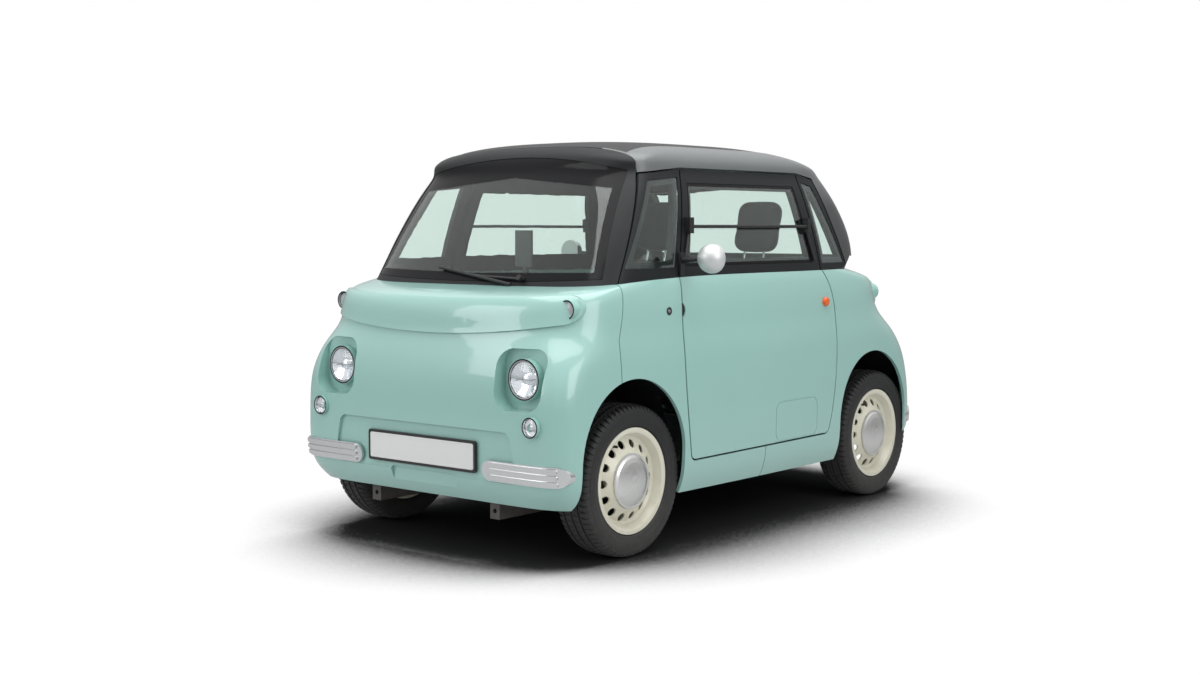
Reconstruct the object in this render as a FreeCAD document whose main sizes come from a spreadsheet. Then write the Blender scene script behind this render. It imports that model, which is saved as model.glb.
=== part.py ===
import FreeCAD, Part
import math
import os

import Sketcher
from FreeCAD import Placement, Rotation, Vector

# A two-seat electric microcar, in millimetres. The origin is on the ground at the middle of the car,
# with its nose towards -Y, its left (driver's) side towards +X and +Z up.

doc = FreeCAD.newDocument("Microcar")
sheet = doc.addObject("Spreadsheet::Sheet", "Sizes")

SIZES = (
    # Overall layout
    ("wheel_base", 1731, "front axle to rear axle"),
    ("front_overhang", 440, "front axle to the bumper's face"),
    ("rear_overhang", 364, "rear axle to the rear bumper's face"),
    # Wheels
    ("tyre_radius", 278.5, "155/65 R14 tyre"),
    ("tyre_width", 155, "155/65 R14 tyre"),
    ("wheel_track_half", 589, "centre line to the middle of a tyre"),
    ("bead_radius", 178, "14 inch rim's bead seat"),
    ("rim_flange_radius", 194, "edge of the steel rim"),
    ("rim_half_width", 66, "middle of the tyre to the rim's edge"),
    ("disc_offset", 28, "middle of the tyre to the outer edge of the coned wheel disc"),
    ("disc_cone", 28, "rise of the disc from its edge to the hub cap's seat"),
    ("cap_seat_radius", 104, "flat seat of the hub cap on the disc"),
    ("rim_hole_count", 14, "round vent holes in a rim"),
    ("rim_hole_radius", 15, "round vent hole"),
    ("rim_hole_circle", 134, "radius of the circle of vent holes"),
    ("hub_cap_radius", 100, "domed cap"),
    ("hub_cap_rise", 25, "height of the dome"),
    ("hub_cap_step", 7, "flat rim of the cap"),
    ("hub_radius", 38, "turning hub behind the disc"),
    ("spindle_radius", 15, "fixed stub that carries a hub"),
    ("seat_gap", 0.3, "clearance between pieces that seat on each other"),
    ("spindle_gap", 0.5, "clearance between a spindle and its hub"),
    # Steering
    ("kingpin_half_track", 490, "centre line to the steering axis"),
    # Skin thicknesses and seams
    ("fascia_thick", 26, "moulded front and rear fascia with its inner ribs"),
    ("side_thick", 14, "moulded side panel"),
    ("door_thick", 44, "whole door below the belt"),
    ("door_flange", 14, "outer skin of the door around its box"),
    ("door_flange_reach", 30, "width of the flange round the door's box"),
    ("frame_thick", 30, "upper body frame"),
    ("glass_inset", 2, "glass below the frame's face"),
    ("glass_thick", 5, "window glass"),
    ("panel_gap", 4, "seam between fixed panels"),
    ("door_gap", 7, "gap round a door"),
    # Wheel arches
    ("arch_radius", 290, "wheel arch opening"),
    ("arch_rise", 84, "arch centre above the wheel's centre"),
    ("front_arch_shift", 24, "arch centre ahead of the front axle"),
    ("rear_arch_shift", 68, "arch centre ahead of the rear axle"),
    ("liner_thick", 5, "inner wheel arch"),
    ("liner_half_width", 346, "inner face of the wheel house from the centre line"),
    ("wheel_room_out", 673, "inner face of the rear panels beside the tyre"),
    ("steer_room", 318, "wheel house ahead of and behind the front axle"),
    # Doors, from the axles
    ("door_front_setback", 278, "front axle to the door's front edge"),
    ("door_rear_setback", 380, "door's rear edge to the rear axle"),
    ("door_bottom", 325, "lower edge of the door"),
    ("door_top", 1411, "upper edge of the door's window frame"),
    ("hinge_inset", 8, "hinge axis inside the door's face"),
    ("hinge_setback", 78, "hinge axis ahead of the door's rear edge"),
    ("hinge_pin_radius", 3.5, "hinge pin"),
    ("lower_hinge_height", 430, "lower hinge"),
    ("upper_hinge_height", 850, "upper hinge"),
    ("rail_height", 1418, "lower edge of the roof rail"),
    # Chassis
    ("rail_width", 46, "main frame tube"),
    ("rail_depth", 60, "main frame tube"),
    ("rail_half_track", 312, "centre line to the middle of a frame tube"),
    ("ground_clearance", 150, "underside of the frame"),
    ("floor_thick", 20, "cabin floor"),
    ("floor_half_width", 590, "cabin floor"),
    ("post_width", 36, "door post"),
    ("post_out", 566, "outer face of the hinge post"),
    ("tow_eye_radius", 9, "socket for a towing eye"),
    ("tow_eye_depth", 36, "socket for a towing eye"),
    ("half_shaft_reach", 458, "end of a drive shaft from the centre line"),
    ("battery_length", 400, "battery block"),
    ("battery_width", 1000, "battery block"),
    ("battery_height", 170, "battery block"),
    ("motor_length", 300, "motor and reduction gear as one block"),
    ("motor_width", 340, "motor and reduction gear as one block"),
    ("motor_height", 260, "motor and reduction gear as one block"),
    ("cradle_width", 60, "cradle that carries the motor on the rails, along the car"),
    ("cradle_height", 40, "cradle that carries the motor on the rails"),
    ("cradle_overlap", 15, "cradle past the middle of a rail"),
    ("half_shaft_radius", 14, "drive shaft"),
    ("lower_arm_height", 176, "underside of the front lower arm"),
    ("ball_pin_radius", 9, "pins that a knuckle turns on"),
    # Cabin
    ("column_shaft_radius", 10, "steering shaft"),
    ("steering_wheel_place", -330, "steering wheel's middle along the car"),
    ("steering_wheel_height", 800, "steering wheel's middle"),
    ("seat_front", -10, "front edge of a seat's cushion along the car"),
    ("seat_track_half", 270, "centre line to the middle of a seat"),
    ("seat_width", 430, "seat"),
    ("seat_length", 420, "cushion"),
    ("cushion_height", 150, "cushion"),
    ("seat_base_height", 430, "underside of the cushion from the ground"),
    ("backrest_height", 640, "backrest"),
    ("backrest_thick", 110, "backrest"),
    ("backrest_lean", 14, "lean of the backrest"),
    ("headrest_width", 240, "headrest"),
    ("headrest_height", 230, "headrest"),
    ("steering_wheel_radius", 165, "steering wheel rim"),
    ("steering_tube_radius", 13, "steering wheel rim"),
    ("column_lean", 28, "steering column from level"),
    # Lamps and trim
    ("head_lamp_radius", 75, "head lamp with its ring"),
    ("lamp_pocket", 108, "half width of the head lamp's pocket"),
    ("lamp_pocket_depth", 55, "head lamp's pocket"),
    ("tail_pocket_depth", 18, "tail lamp's pocket"),
    ("head_lamp_half_track", 475, "head lamps and tail lamps"),
    ("head_lamp_height", 663, "head lamps and tail lamps"),
    ("low_lamp_radius", 37, "lower lamp"),
    ("low_lamp_half_track", 549, "lower lamp"),
    ("low_lamp_height", 505, "lower lamp"),
    ("high_lamp_radius", 35, "lamp in the nose panel"),
    ("high_lamp_half_track", 584, "lamp in the nose panel"),
    ("high_lamp_height", 906, "lamp in the nose panel"),
    ("nose_panel_stand", 9, "nose panel in front of the fascia"),
    ("blade_height", 337, "middle of a bumper blade"),
    ("blade_depth", 74, "height of a bumper blade"),
    ("blade_inner", 315, "inner end of a bumper blade"),
    ("blade_outer", 682, "outer end of a bumper blade"),
    ("blade_stand", 15, "bumper blade in front of the fascia"),
    ("mirror_radius", 55, "round door mirror"),
    ("mirror_reach", 112, "mirror centre outside the door"),
    ("mirror_height", 1078, "mirror centre"),
)

# Rings of the lower body, from the hem up to the belt: height at the side, rise towards the front and
# towards the rear, half width, reach ahead of the front axle and behind the rear axle, and the
# squareness of the front and rear corners.
BODY_RINGS = (
    ("hem", 200, 12, 12, 664, 378, 309, 8, 9),
    ("low", 265, 8, 8, 690, 412, 342, 12, 10),
    ("bumper", 370, 0, 0, 697, 424, 348, 13, 9),
    ("waist", 480, 0, 0, 698, 426, 348, 12, 8),
    ("lamp", 620, 0, 0, 694, 422, 341, 11, 6),
    ("upper", 730, 0, 0, 688, 404, 310, 6, 4),
    ("neck", 815, 0, 0, 677, 378, 246, 3.6, 3),
    ("brow", 890, 0, 0, 671, 373, 220, 3.2, 2.8),
    ("shoulder", 945, -5, -5, 664, 345, 210, 3.5, 2.9),
    ("cowl", 987, -24, -12, 656, 266, 150, 4.2, 3.2),
    ("belt", 1012, -34, 5, 648, 178, -20, 4.5, 3.2),
)
RING_FIELDS = ("height", "front_rise", "rear_rise", "half_width", "front_reach", "rear_reach",
               "front_square", "rear_square")

# Rings of the upper body, from a foot inside the lower body up to the roof rail.
CABIN_RINGS = (
    ("foot", 930, 0, 0, 650, 208, -30, 3.2, 3),
    ("base", 1012, 0, 0, 642, 156, -32, 3.2, 3),
    ("glass_low", 1110, 0, 0, 631, 103, -34, 3, 3),
    ("glass_mid", 1200, 0, 0, 616, 47, -66, 3, 3),
    ("glass_high", 1290, 0, 0, 597, -13, -124, 3, 3),
    ("head", 1350, 0, 0, 580, -58, -174, 3, 3),
    ("eave", 1400, 0, 0, 563, -96, -222, 3, 3),
)
ROOF_SIZES = (
    ("roof_top", 1530, "highest point of the roof"),
    ("body_cap", 330, "length of the lower body's rounded front end"),
    ("body_tail_cap", 400, "length of the lower body's rounded rear end"),
    ("cabin_cap", 200, "length of the upper body's rounded ends at the base"),
    ("eave_cap", 150, "length of the upper body's rounded ends at the eave"),
    ("side_bow", 0.010, "outward bow of the sides, per metre of length squared"),
    ("roof_panel_half_width", 478, "dark centre panel of the roof"),
    ("roof_panel_front", 645, "front edge of the roof panel from the middle of the car"),
    ("roof_panel_rear", 430, "rear edge of the roof panel from the middle of the car"),
)


def fill_sheet():
    """Write every driving size into the sheet, one row each, with its alias and what it is."""
    rows = list(SIZES) + list(ROOF_SIZES)
    for ring in BODY_RINGS:
        rows += [(ring[0] + "_" + field, number, "lower body ring " + ring[0])
                 for field, number in zip(RING_FIELDS, ring[1:])]
    for ring in CABIN_RINGS:
        rows += [(ring[0] + "_" + field, number, "upper body ring " + ring[0])
                 for field, number in zip(RING_FIELDS, ring[1:])]
    for row, (alias, number, note) in enumerate(rows, start=1):
        sheet.set(f"A{row}", alias)
        sheet.set(f"B{row}", str(number))
        sheet.set(f"C{row}", note)
        sheet.setAlias(f"B{row}", alias)
    doc.recompute()


def size(alias):
    """A driving size, read from the sheet."""
    return float(sheet.get(alias))


fill_sheet()

LENGTH = size("front_overhang") + size("wheel_base") + size("rear_overhang")
FRONT_AXLE = size("front_overhang") - LENGTH / 2
REAR_AXLE = FRONT_AXLE + size("wheel_base")
AXLE_HEIGHT = size("tyre_radius")
SEAT = size("seat_gap")
DOOR_FRONT = FRONT_AXLE + size("door_front_setback")
DOOR_REAR = REAR_AXLE - size("door_rear_setback")
DOOR_MIDDLE = (DOOR_FRONT + DOOR_REAR) / 2
nodes = {}


def keep(name, shape_or_object):
    """Store a finished piece under its own label."""
    piece = shape_or_object
    if isinstance(piece, Part.Shape):
        piece = doc.addObject("Part::Feature", name)
        piece.Shape = shape_or_object
    piece.Label = name
    nodes[name] = piece
    return piece


# Geometry helpers

def box(x0, x1, y0, y1, z0, z1):
    """A block between two corners."""
    return Part.makeBox(x1 - x0, y1 - y0, z1 - z0, Vector(x0, y0, z0))


def mirrored(shape):
    """The same shape on the other side of the car."""
    return shape.mirror(Vector(0, 0, 0), Vector(1, 0, 0))


def both_sides(shape):
    """A shape and its mirror image, as one compound."""
    return Part.makeCompound([shape, mirrored(shape)])


def fused(shapes):
    """One solid from shapes that touch."""
    first, *rest = shapes
    return first.multiFuse(rest) if rest else first


def outline_wire(points, place):
    """Closed wire from 2D points; a point marked 'via' is the middle of an arc."""
    flat = [(place(*p[-2:]), p[0] == "via") for p in points]
    edges, i, count = [], 0, len(flat)
    while i < count:
        start, (middle, is_arc) = flat[i][0], flat[(i + 1) % count]
        if is_arc:
            end = flat[(i + 2) % count][0]
            edges.append(Part.Arc(start, middle, end).toShape())
            i += 2
        else:
            edges.append(Part.LineSegment(start, middle).toShape())
            i += 1
    return Part.Wire(edges)


def prism(points, axis, low, high, radius=0.0):
    """Solid with the outline of the points across an axis, its long edges rounded by the radius."""
    place = {"x": lambda a, b: Vector(low, a, b),
             "y": lambda a, b: Vector(a, low, b),
             "z": lambda a, b: Vector(a, b, low)}[axis]
    along = {"x": Vector(1, 0, 0), "y": Vector(0, 1, 0), "z": Vector(0, 0, 1)}[axis]
    solid = Part.Face(outline_wire(points, place)).extrude(along * (high - low))
    if radius:
        edges = [e for e in solid.Edges
                 if len(e.Vertexes) == 2 and isinstance(e.Curve, Part.Line)
                 and abs(abs((e.Vertexes[1].Point - e.Vertexes[0].Point).normalize().dot(along)) - 1) < 1e-6]
        solid = solid.makeFillet(radius, edges)
    return solid


def cylinder(radius, start, end):
    """A round bar from one point to another."""
    along = Vector(*end) - Vector(*start)
    return Part.makeCylinder(radius, along.Length, Vector(*start), along)


# The car's skin. A ring is the plan outline at one height: straight sides with a slight bow and
# rounded ends. The skin runs smoothly through the rings.

CAP = 18    # grid columns round half an end
SIDE = 10   # grid columns along a side


def cap_points(square, half_width, cap):
    """Evenly spaced points round a quarter of a squared ellipse, from the middle to the side."""
    dense = []
    for i in range(181):
        angle = math.pi / 2 * (1 - i / 180)
        reach = (abs(math.cos(angle)) ** square + abs(math.sin(angle)) ** square) ** (-1 / square)
        dense.append((half_width * reach * math.cos(angle), cap * reach * math.sin(angle)))
    walked = [0.0]
    for (x0, y0), (x1, y1) in zip(dense, dense[1:]):
        walked.append(walked[-1] + math.hypot(x1 - x0, y1 - y0))
    points, k = [], 0
    for i in range(CAP + 1):
        target = walked[-1] * i / CAP
        while k < len(walked) - 2 and walked[k + 1] < target:
            k += 1
        t = (target - walked[k]) / (walked[k + 1] - walked[k])
        points.append(tuple(a + (b - a) * t for a, b in zip(dense[k], dense[k + 1])))
    return points


def ring_columns(height, front_rise, rear_rise, half_width, front, rear, front_square, rear_square,
                 front_cap, rear_cap):
    """Points of one ring on the left side, from the middle of the front to the middle of the rear."""
    nose = [(x, -(front - front_cap) - y) for x, y in cap_points(front_square, half_width, front_cap)]
    tail = [(x, rear - rear_cap + y) for x, y in cap_points(rear_square, half_width, rear_cap)]
    first, last = nose[-1][1], tail[-1][1]
    side = [(half_width, first + (last - first) * i / SIDE) for i in range(1, SIDE)]
    columns = []
    for x, y in nose + side + tail[::-1]:
        rise = front_rise * abs(y / front) ** 3 if y < 0 else rear_rise * abs(y / rear) ** 3
        columns.append(Vector(x * (1 - size("side_bow") * (y / 1000) ** 2), y, height + rise))
    return columns


def table_ring(name, front_cap, rear_cap):
    """A ring whose sizes are in the sheet."""
    numbers = [size(name + "_" + field) for field in RING_FIELDS]
    numbers[4] = numbers[4] - FRONT_AXLE
    numbers[5] = numbers[5] + REAR_AXLE
    return ring_columns(*numbers, front_cap, rear_cap)


def roof_rings():
    """Rings from the eave up over the roof, closing towards its top."""
    eave = {field: size("eave_" + field) for field in RING_FIELDS}
    rings = []
    for climb in (0.3, 0.52, 0.68, 0.79, 0.87, 0.93):
        width = eave["half_width"] * (1 - climb ** 3) ** (1 / 4.5)
        front = (eave["front_reach"] - FRONT_AXLE) * (1 - climb ** 3) ** (1 / 9) * (1 - 0.05 * climb)
        rear = (eave["rear_reach"] + REAR_AXLE) * (1 - climb ** 1.6) ** (1 / 2.5)
        front_cap = size("eave_cap") + (front - size("eave_cap")) * climb ** 3
        rear_cap = size("eave_cap") + (rear - size("eave_cap")) * climb ** 2
        square = eave["front_square"] + 1.2 * math.sin(math.pi * climb)
        height = size("eave_height") + (size("roof_top") - size("eave_height")) * climb
        rings.append(ring_columns(height, 0, 0, width, front, rear, square, square, front_cap, rear_cap))
    return rings


def between_rings(rings):
    """The rings with one more, on a smooth curve, halfway between each two."""
    dense = []
    for i in range(len(rings) - 1):
        dense.append(rings[i])
        before, after = rings[max(0, i - 1)], rings[min(len(rings) - 1, i + 2)]
        dense.append([(b + c) * 0.5625 - (a + d) * 0.0625
                      for a, b, c, d in zip(before, rings[i], rings[i + 1], after)])
    return dense + [rings[-1]]


body_rings = [table_ring(ring[0], size("body_cap"), size("body_tail_cap")) for ring in BODY_RINGS]
body_rings = between_rings(body_rings)
cabin_rings = []
for step, ring in enumerate(CABIN_RINGS):
    climb = max(0, step - 1) / (len(CABIN_RINGS) - 2)
    cap = size("cabin_cap") + (size("eave_cap") - size("cabin_cap")) * climb
    cabin_rings.append(table_ring(ring[0], cap, cap))
cabin_rings = between_rings(cabin_rings + roof_rings())

LAST = 2 * CAP + SIDE    # column at the middle of the rear
FRONT_PATCH = (-(CAP + 5), CAP + 5)
LEFT_PATCH = (CAP - 9, LAST - 3)
REAR_PATCH = (CAP + SIDE - 5, LAST + CAP + 5)
TOP_PATCH = (CAP - 9, 2 * LAST - CAP + 9)


def skin_point(rings, row, column):
    """A grid point; columns run on past the middle of the front or rear to the right side."""
    flip = column < 0 or column > LAST
    index = 2 * LAST - column if column > LAST else abs(column)
    point = rings[row][index]
    return Vector(-point.x, point.y, point.z) if flip else Vector(point)


def offset_grid(rings, patch, depth):
    """Grid of a patch of the skin, moved inwards by a depth."""
    first, last = patch
    grid = [[skin_point(rings, row, column) for column in range(first - 1, last + 2)]
            for row in range(len(rings))]
    moved = []
    for r, line in enumerate(grid):
        below, above = grid[max(0, r - 1)], grid[min(len(grid) - 1, r + 1)]
        out = []
        for c in range(1, len(line) - 1):
            normal = (above[c] - below[c]).cross(line[c + 1] - line[c - 1]).normalize()
            out.append(line[c] + normal * depth)
        moved.append(out)
    return moved


def skin_face(rings, patch, depth):
    """Smooth face of a patch at a depth below the skin."""
    poles = offset_grid(rings, patch, depth)
    knots = [list(range(count - 2)) for count in (len(poles), len(poles[0]))]
    repeats = [[4] + [1] * (len(line) - 2) + [4] for line in knots]
    surface = Part.BSplineSurface()
    surface.buildFromPolesMultsKnots(poles, *repeats, *knots, False, False, 3, 3)
    return surface.toShape()


def matching_edge(face, edge):
    """The edge of another face that lies across a slab from an edge."""
    middle = edge.valueAt((edge.FirstParameter + edge.LastParameter) / 2)
    def away(candidate):
        halfway = (candidate.FirstParameter + candidate.LastParameter) / 2
        return (candidate.valueAt(halfway) - middle).Length

    return min(face.Edges, key=away)


def skin_slab(rings, patch, outer, inner):
    """Solid between two depths below the skin."""
    faces = [skin_face(rings, patch, outer), skin_face(rings, patch, inner)]
    walls = [Part.makeRuledSurface(edge, matching_edge(faces[1], edge)) for edge in faces[0].Edges]
    shell = Part.makeShell(faces + walls)
    shell.sewShape()
    solid = Part.makeSolid(shell)
    if solid.Volume < 0:
        solid.reverse()
    return solid


def skin_x(y, z, rings=body_rings):
    """Half width of the car's left side at a place along the car and a height."""
    ray = Part.makeLine(Vector(300, y, z), Vector(900, y, z))
    return max(v.X for v in ray.section(skin_face(rings, LEFT_PATCH, 0)).Vertexes)


def skin_y(x, z, rings, patch):
    """Place along the car of the front or rear skin at a half width and a height."""
    sign = -1 if patch is FRONT_PATCH else 1
    ray = Part.makeLine(Vector(x, 500 * sign, z), Vector(x, 1500 * sign, z))
    return sign * max(sign * v.Y for v in ray.section(skin_face(rings, patch, 0)).Vertexes)


def body_slab(patch, outer, inner):
    """Part of the lower body's skin between two depths."""
    return skin_slab(body_rings, patch, outer, inner)


def cabin_slab(patch, outer, inner):
    """Part of the upper body's skin between two depths."""
    return skin_slab(cabin_rings, patch, outer, inner)


def flat_prism(wire, axis, low, high, grow=0.0):
    """Solid across the car from a closed outline, which may be grown or shrunk."""
    outline = wire.makeOffset2D(grow) if grow else wire
    start = {"x": Vector(low, 0, 0), "y": Vector(0, low, 0), "z": Vector(0, 0, low)}[axis]
    along = {"x": Vector(1, 0, 0), "y": Vector(0, 1, 0), "z": Vector(0, 0, 1)}[axis]
    solid = Part.Face(outline).extrude(along * (high - low))
    solid.translate(start)
    return solid


def side_outline(points):
    """Closed outline seen from the side, at X = 0."""
    return outline_wire(points, lambda y, z: Vector(0, y, z))


def front_outline(points):
    """Closed outline seen from the front, at Y = 0."""
    return outline_wire(points, lambda x, z: Vector(x, 0, z))


OUT = 1500          # past the car on every side
TOOL = 60           # how far a cutting skin stands outside the car

front_tool = body_slab(FRONT_PATCH, -TOOL, size("fascia_thick") + SEAT)
rear_tool = body_slab(REAR_PATCH, -TOOL, size("fascia_thick") + SEAT)
left_tool = body_slab(LEFT_PATCH, -TOOL, size("side_thick") + SEAT)
right_tool = mirrored(left_tool)


def inside_skin(shape, tools=(front_tool, left_tool, right_tool, rear_tool)):
    """What is left of a shape inside the lower body's panels, seated on them."""
    for tool in tools:
        shape = shape.cut(tool)
    return shape


# Outlines seen from the side

def arch_cut(axle, shift, low):
    """Wheel arch opening through both sides: a round top on a straight-sided foot."""
    middle = axle - shift
    height = AXLE_HEIGHT + size("arch_rise")
    radius = size("arch_radius")
    points = [(middle - radius, height), ("via", middle, height + radius), (middle + radius, height),
              (middle + radius, low), (middle - radius, low)]
    return flat_prism(side_outline(points), "x", -OUT, OUT)


def door_points():
    """The left door seen from the side, its window frame included."""
    front, rear = DOOR_FRONT, DOOR_REAR
    bottom, top, belt = size("door_bottom"), size("door_top"), size("belt_height")
    return [(front + 17, belt), ("via", front, 810), (front + 29, bottom + 31),
            ("via", front + 36, bottom + 9), (front + 54, bottom), (rear - 113, bottom + 6),
            ("via", rear - 83, bottom + 12), (rear - 71, bottom + 27),
            ("via", rear - 18, 569), (rear, 800), ("via", rear - 18, 926), (rear - 64, belt),
            (rear - 144, top), (front + 129, top)]


door_outline = side_outline(door_points())
turn_right = Placement(Vector(0, 2 * DOOR_MIDDLE, 0), Rotation(Vector(0, 0, 1), 180))


def turned(shape):
    """The same piece for the right door: turned half round about the middle of the doors."""
    turned_shape = shape.copy()
    turned_shape.Placement = turn_right.multiply(turned_shape.Placement)
    return turned_shape


def door_opening(grow, low=300):
    """Room of the left door, grown by a gap, from a half width outwards."""
    return flat_prism(door_outline, "x", low, OUT, grow)


left_opening = door_opening(size("door_gap"))
right_opening = turned(left_opening)

PILLAR_FOOT = FRONT_AXLE - 100       # A-pillar's rear line at the foot's height
PILLAR_HEAD = FRONT_AXLE + 170
SCREEN_FOOT = size("foot_height") - 30
TAIL_FOOT = REAR_AXLE - 167
TAIL_HEAD = REAR_AXLE - 398
EAVE = size("eave_height")


def front_seam(shift):
    """Line between the front fascia and the side panel, from the belt down to the arch."""
    return [(FRONT_AXLE - 58 + shift, 1060), ("via", FRONT_AXLE - 70 + shift, 900),
            (FRONT_AXLE - 104 + shift, 790), (FRONT_AXLE - 98 + shift, 420)]


def ahead_of_seam(shift):
    """Everything ahead of the front fascia's seam."""
    return flat_prism(side_outline(front_seam(shift) + [(-OUT, 420), (-OUT, 1060)]), "x", -OUT, OUT)


# Front fascia, one moulding that wraps round both front corners to the seam above the arch

def lamp_socket(x, z, depth, outwards):
    """Dish behind a head or tail lamp, closed where the pocket is deeper than the fascia, and its room."""
    patch = FRONT_PATCH if outwards < 0 else REAR_PATCH
    floor = skin_y(abs(x), z, body_rings, patch) - outwards * depth
    half, wall = size("lamp_pocket"), 9
    back = floor - outwards * wall
    front = floor + outwards * (depth + 11)
    dish = prism([(x - half - wall, z - half - wall), (x + half + wall, z - half - wall),
                  (x + half + wall, z + half + wall), (x - half - wall, z + half + wall)], "y",
                 min(back, front), max(back, front), 62 + wall)
    far = outwards * OUT
    room = prism([(x - half, z - half), (x + half, z - half), (x + half, z + half), (x - half, z + half)],
                 "y", min(floor, far), max(floor, far), 62)
    parts = dish.cut(body_slab(patch, -TOOL, 6)).Solids
    return max(parts, key=lambda part: part.Volume), room


def front_fascia():
    """Front fascia with lamp pockets, the plate's recess and the pocket below it."""
    shape = body_slab(FRONT_PATCH, 0, size("fascia_thick"))
    low_part = box(-OUT, OUT, -OUT, FRONT_AXLE - size("front_arch_shift"), 0, 430)
    shape = shape.common(fused([ahead_of_seam(0), low_part]))
    shape = shape.cut(arch_cut(FRONT_AXLE, size("front_arch_shift"), 0))
    for side in (-1, 1):
        dish, room = lamp_socket(side * size("head_lamp_half_track"), size("head_lamp_height"),
                                 size("lamp_pocket_depth"), -1)
        shape = shape.fuse(dish).cut(room)
    face = skin_y(0, size("waist_height"), body_rings, FRONT_PATCH)
    shape = shape.cut(prism([(-479, 296), (479, 296), (440, 478), (-440, 478)], "y", -OUT, face + 12, 34))
    return shape.cut(prism([(-166, 246), (166, 246), (172, 306), (-172, 306)], "y", -OUT, face + 24, 14))


TAIL_SEAM_OUT = 620             # seams of the rear fascia from the centre line
TAIL_SEAM = REAR_AXLE - 100     # and its front ends on the shoulders


def tail_seam(gap=0.0):
    """Everything between the seams of the rear fascia."""
    half = TAIL_SEAM_OUT + gap
    return box(-half, half, TAIL_SEAM - gap, OUT, 0, OUT)


rear_wheel_room = cylinder(size("tyre_radius") + 11, (-size("wheel_room_out"), REAR_AXLE, AXLE_HEIGHT),
                           (size("wheel_room_out"), REAR_AXLE, AXLE_HEIGHT))


def rear_fascia():
    """Rear fascia with its lamp pockets and the plate's recess."""
    shape = body_slab(REAR_PATCH, 0, size("fascia_thick")).common(tail_seam()).cut(rear_wheel_room)
    for side in (-1, 1):
        dish, room = lamp_socket(side * size("head_lamp_half_track"), size("head_lamp_height"),
                                 size("tail_pocket_depth"), 1)
        shape = shape.fuse(dish).cut(room)
    face = skin_y(0, size("waist_height"), body_rings, REAR_PATCH)
    return shape.cut(prism([(-479, 296), (479, 296), (440, 478), (-440, 478)], "y", face - 12, OUT, 34))


def side_panels(side):
    """Front and rear side panel of one side, with their halves of the sill."""
    slab = body_slab(LEFT_PATCH, 0, size("side_thick"))
    opening = left_opening
    if side < 0:
        slab, opening = mirrored(slab), right_opening
    slab = slab.cut(opening)
    slab = slab.cut(arch_cut(FRONT_AXLE, size("front_arch_shift"), 0))
    slab = slab.cut(arch_cut(REAR_AXLE, size("rear_arch_shift"), 0))
    gap = size("panel_gap")
    split = DOOR_MIDDLE - 10
    front = slab.common(box(-OUT, OUT, -OUT, split - gap / 2, 0, OUT)).cut(ahead_of_seam(gap))
    front = front.cut(box(-OUT, OUT, -OUT, FRONT_AXLE, 0, 430))
    rear = slab.common(box(-OUT, OUT, split + gap / 2, OUT, 0, OUT))
    return front, rear.cut(tail_seam(gap)).cut(rear_wheel_room)


keep("front_fascia", front_fascia())
keep("rear_fascia", rear_fascia())
fronts, rears = zip(side_panels(1), side_panels(-1))
keep("front_side_panels", Part.makeCompound(fronts))
keep("rear_side_panels", Part.makeCompound(rears))


# Nose and tail panels, a raised band that holds the upper lamps

def band(rings_patch, stand):
    """Raised band across the front or the rear, round at both ends."""
    outline = front_outline([(-575, 853), ("via", 0, 810), (575, 853), ("via", 626, 905), (575, 955),
                             ("via", 0, 937), (-575, 955), ("via", -626, 905)])
    low, high = (-OUT, 0) if rings_patch is FRONT_PATCH else (0, OUT)
    return body_slab(rings_patch, -stand, -SEAT).common(flat_prism(outline, "y", low, high))


keep("nose_panel", band(FRONT_PATCH, size("nose_panel_stand")))
keep("tail_panel", band(REAR_PATCH, size("nose_panel_stand")))


# Upper body: windscreen surround with the A-pillars and the header, roof shell with the C-pillars,
# and the frames of the small side windows

screen_outline = front_outline([(-585, 1006), ("via", 0, 990), (585, 1006), (508, 1405),
                                ("via", 0, 1462), (-508, 1405)])
rear_outline = front_outline([(-520, 1046), (520, 1046), (440, 1372), ("via", 0, 1398), (-440, 1372)])
PANE_EDGE = 1.5      # gap between a pane and the edge of its rebate
LEDGE = 24           # width of the ledge that a pane lies on

front_of_pillars = side_outline([(-OUT, SCREEN_FOOT), (PILLAR_FOOT, SCREEN_FOOT), (PILLAR_HEAD, EAVE),
                                 (PILLAR_HEAD + 5, 1600), (-OUT, 1600)])
behind_pillars = side_outline([(TAIL_FOOT, SCREEN_FOOT), (OUT, SCREEN_FOOT), (OUT, 1600),
                               (PILLAR_HEAD + 5, 1600), (PILLAR_HEAD, EAVE - 6),
                               (DOOR_FRONT + 129, size("rail_height")),
                                (DOOR_REAR - 144, size("rail_height")),
                               (TAIL_HEAD, EAVE - 2)])
roof_half = size("roof_panel_half_width")
roof_front, roof_rear = -size("roof_panel_front"), size("roof_panel_rear")
roof_outline = outline_wire([(-roof_half, roof_front), (roof_half, roof_front), (roof_half, roof_rear - 50),
                             ("via", 300, roof_rear - 5), (0, roof_rear), ("via", -300, roof_rear - 5),
                             (-roof_half, roof_rear - 50)], lambda x, y: Vector(x, y, 0))


def glazed(slab_of, outline, axis, low, high):
    """What a frame loses to a window: the pane's rebate and the clear opening; and the pane."""
    rebate = slab_of(-TOOL, size("glass_inset") + size("glass_thick") + SEAT).common(
        flat_prism(outline, axis, low, high))
    clear = flat_prism(outline, axis, low, high, -LEDGE)
    pane = slab_of(size("glass_inset"), size("glass_inset") + size("glass_thick")).common(
        flat_prism(outline, axis, low, high, -PANE_EDGE))
    return rebate, clear, pane


ROOF_PANEL_THICK = 10

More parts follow.
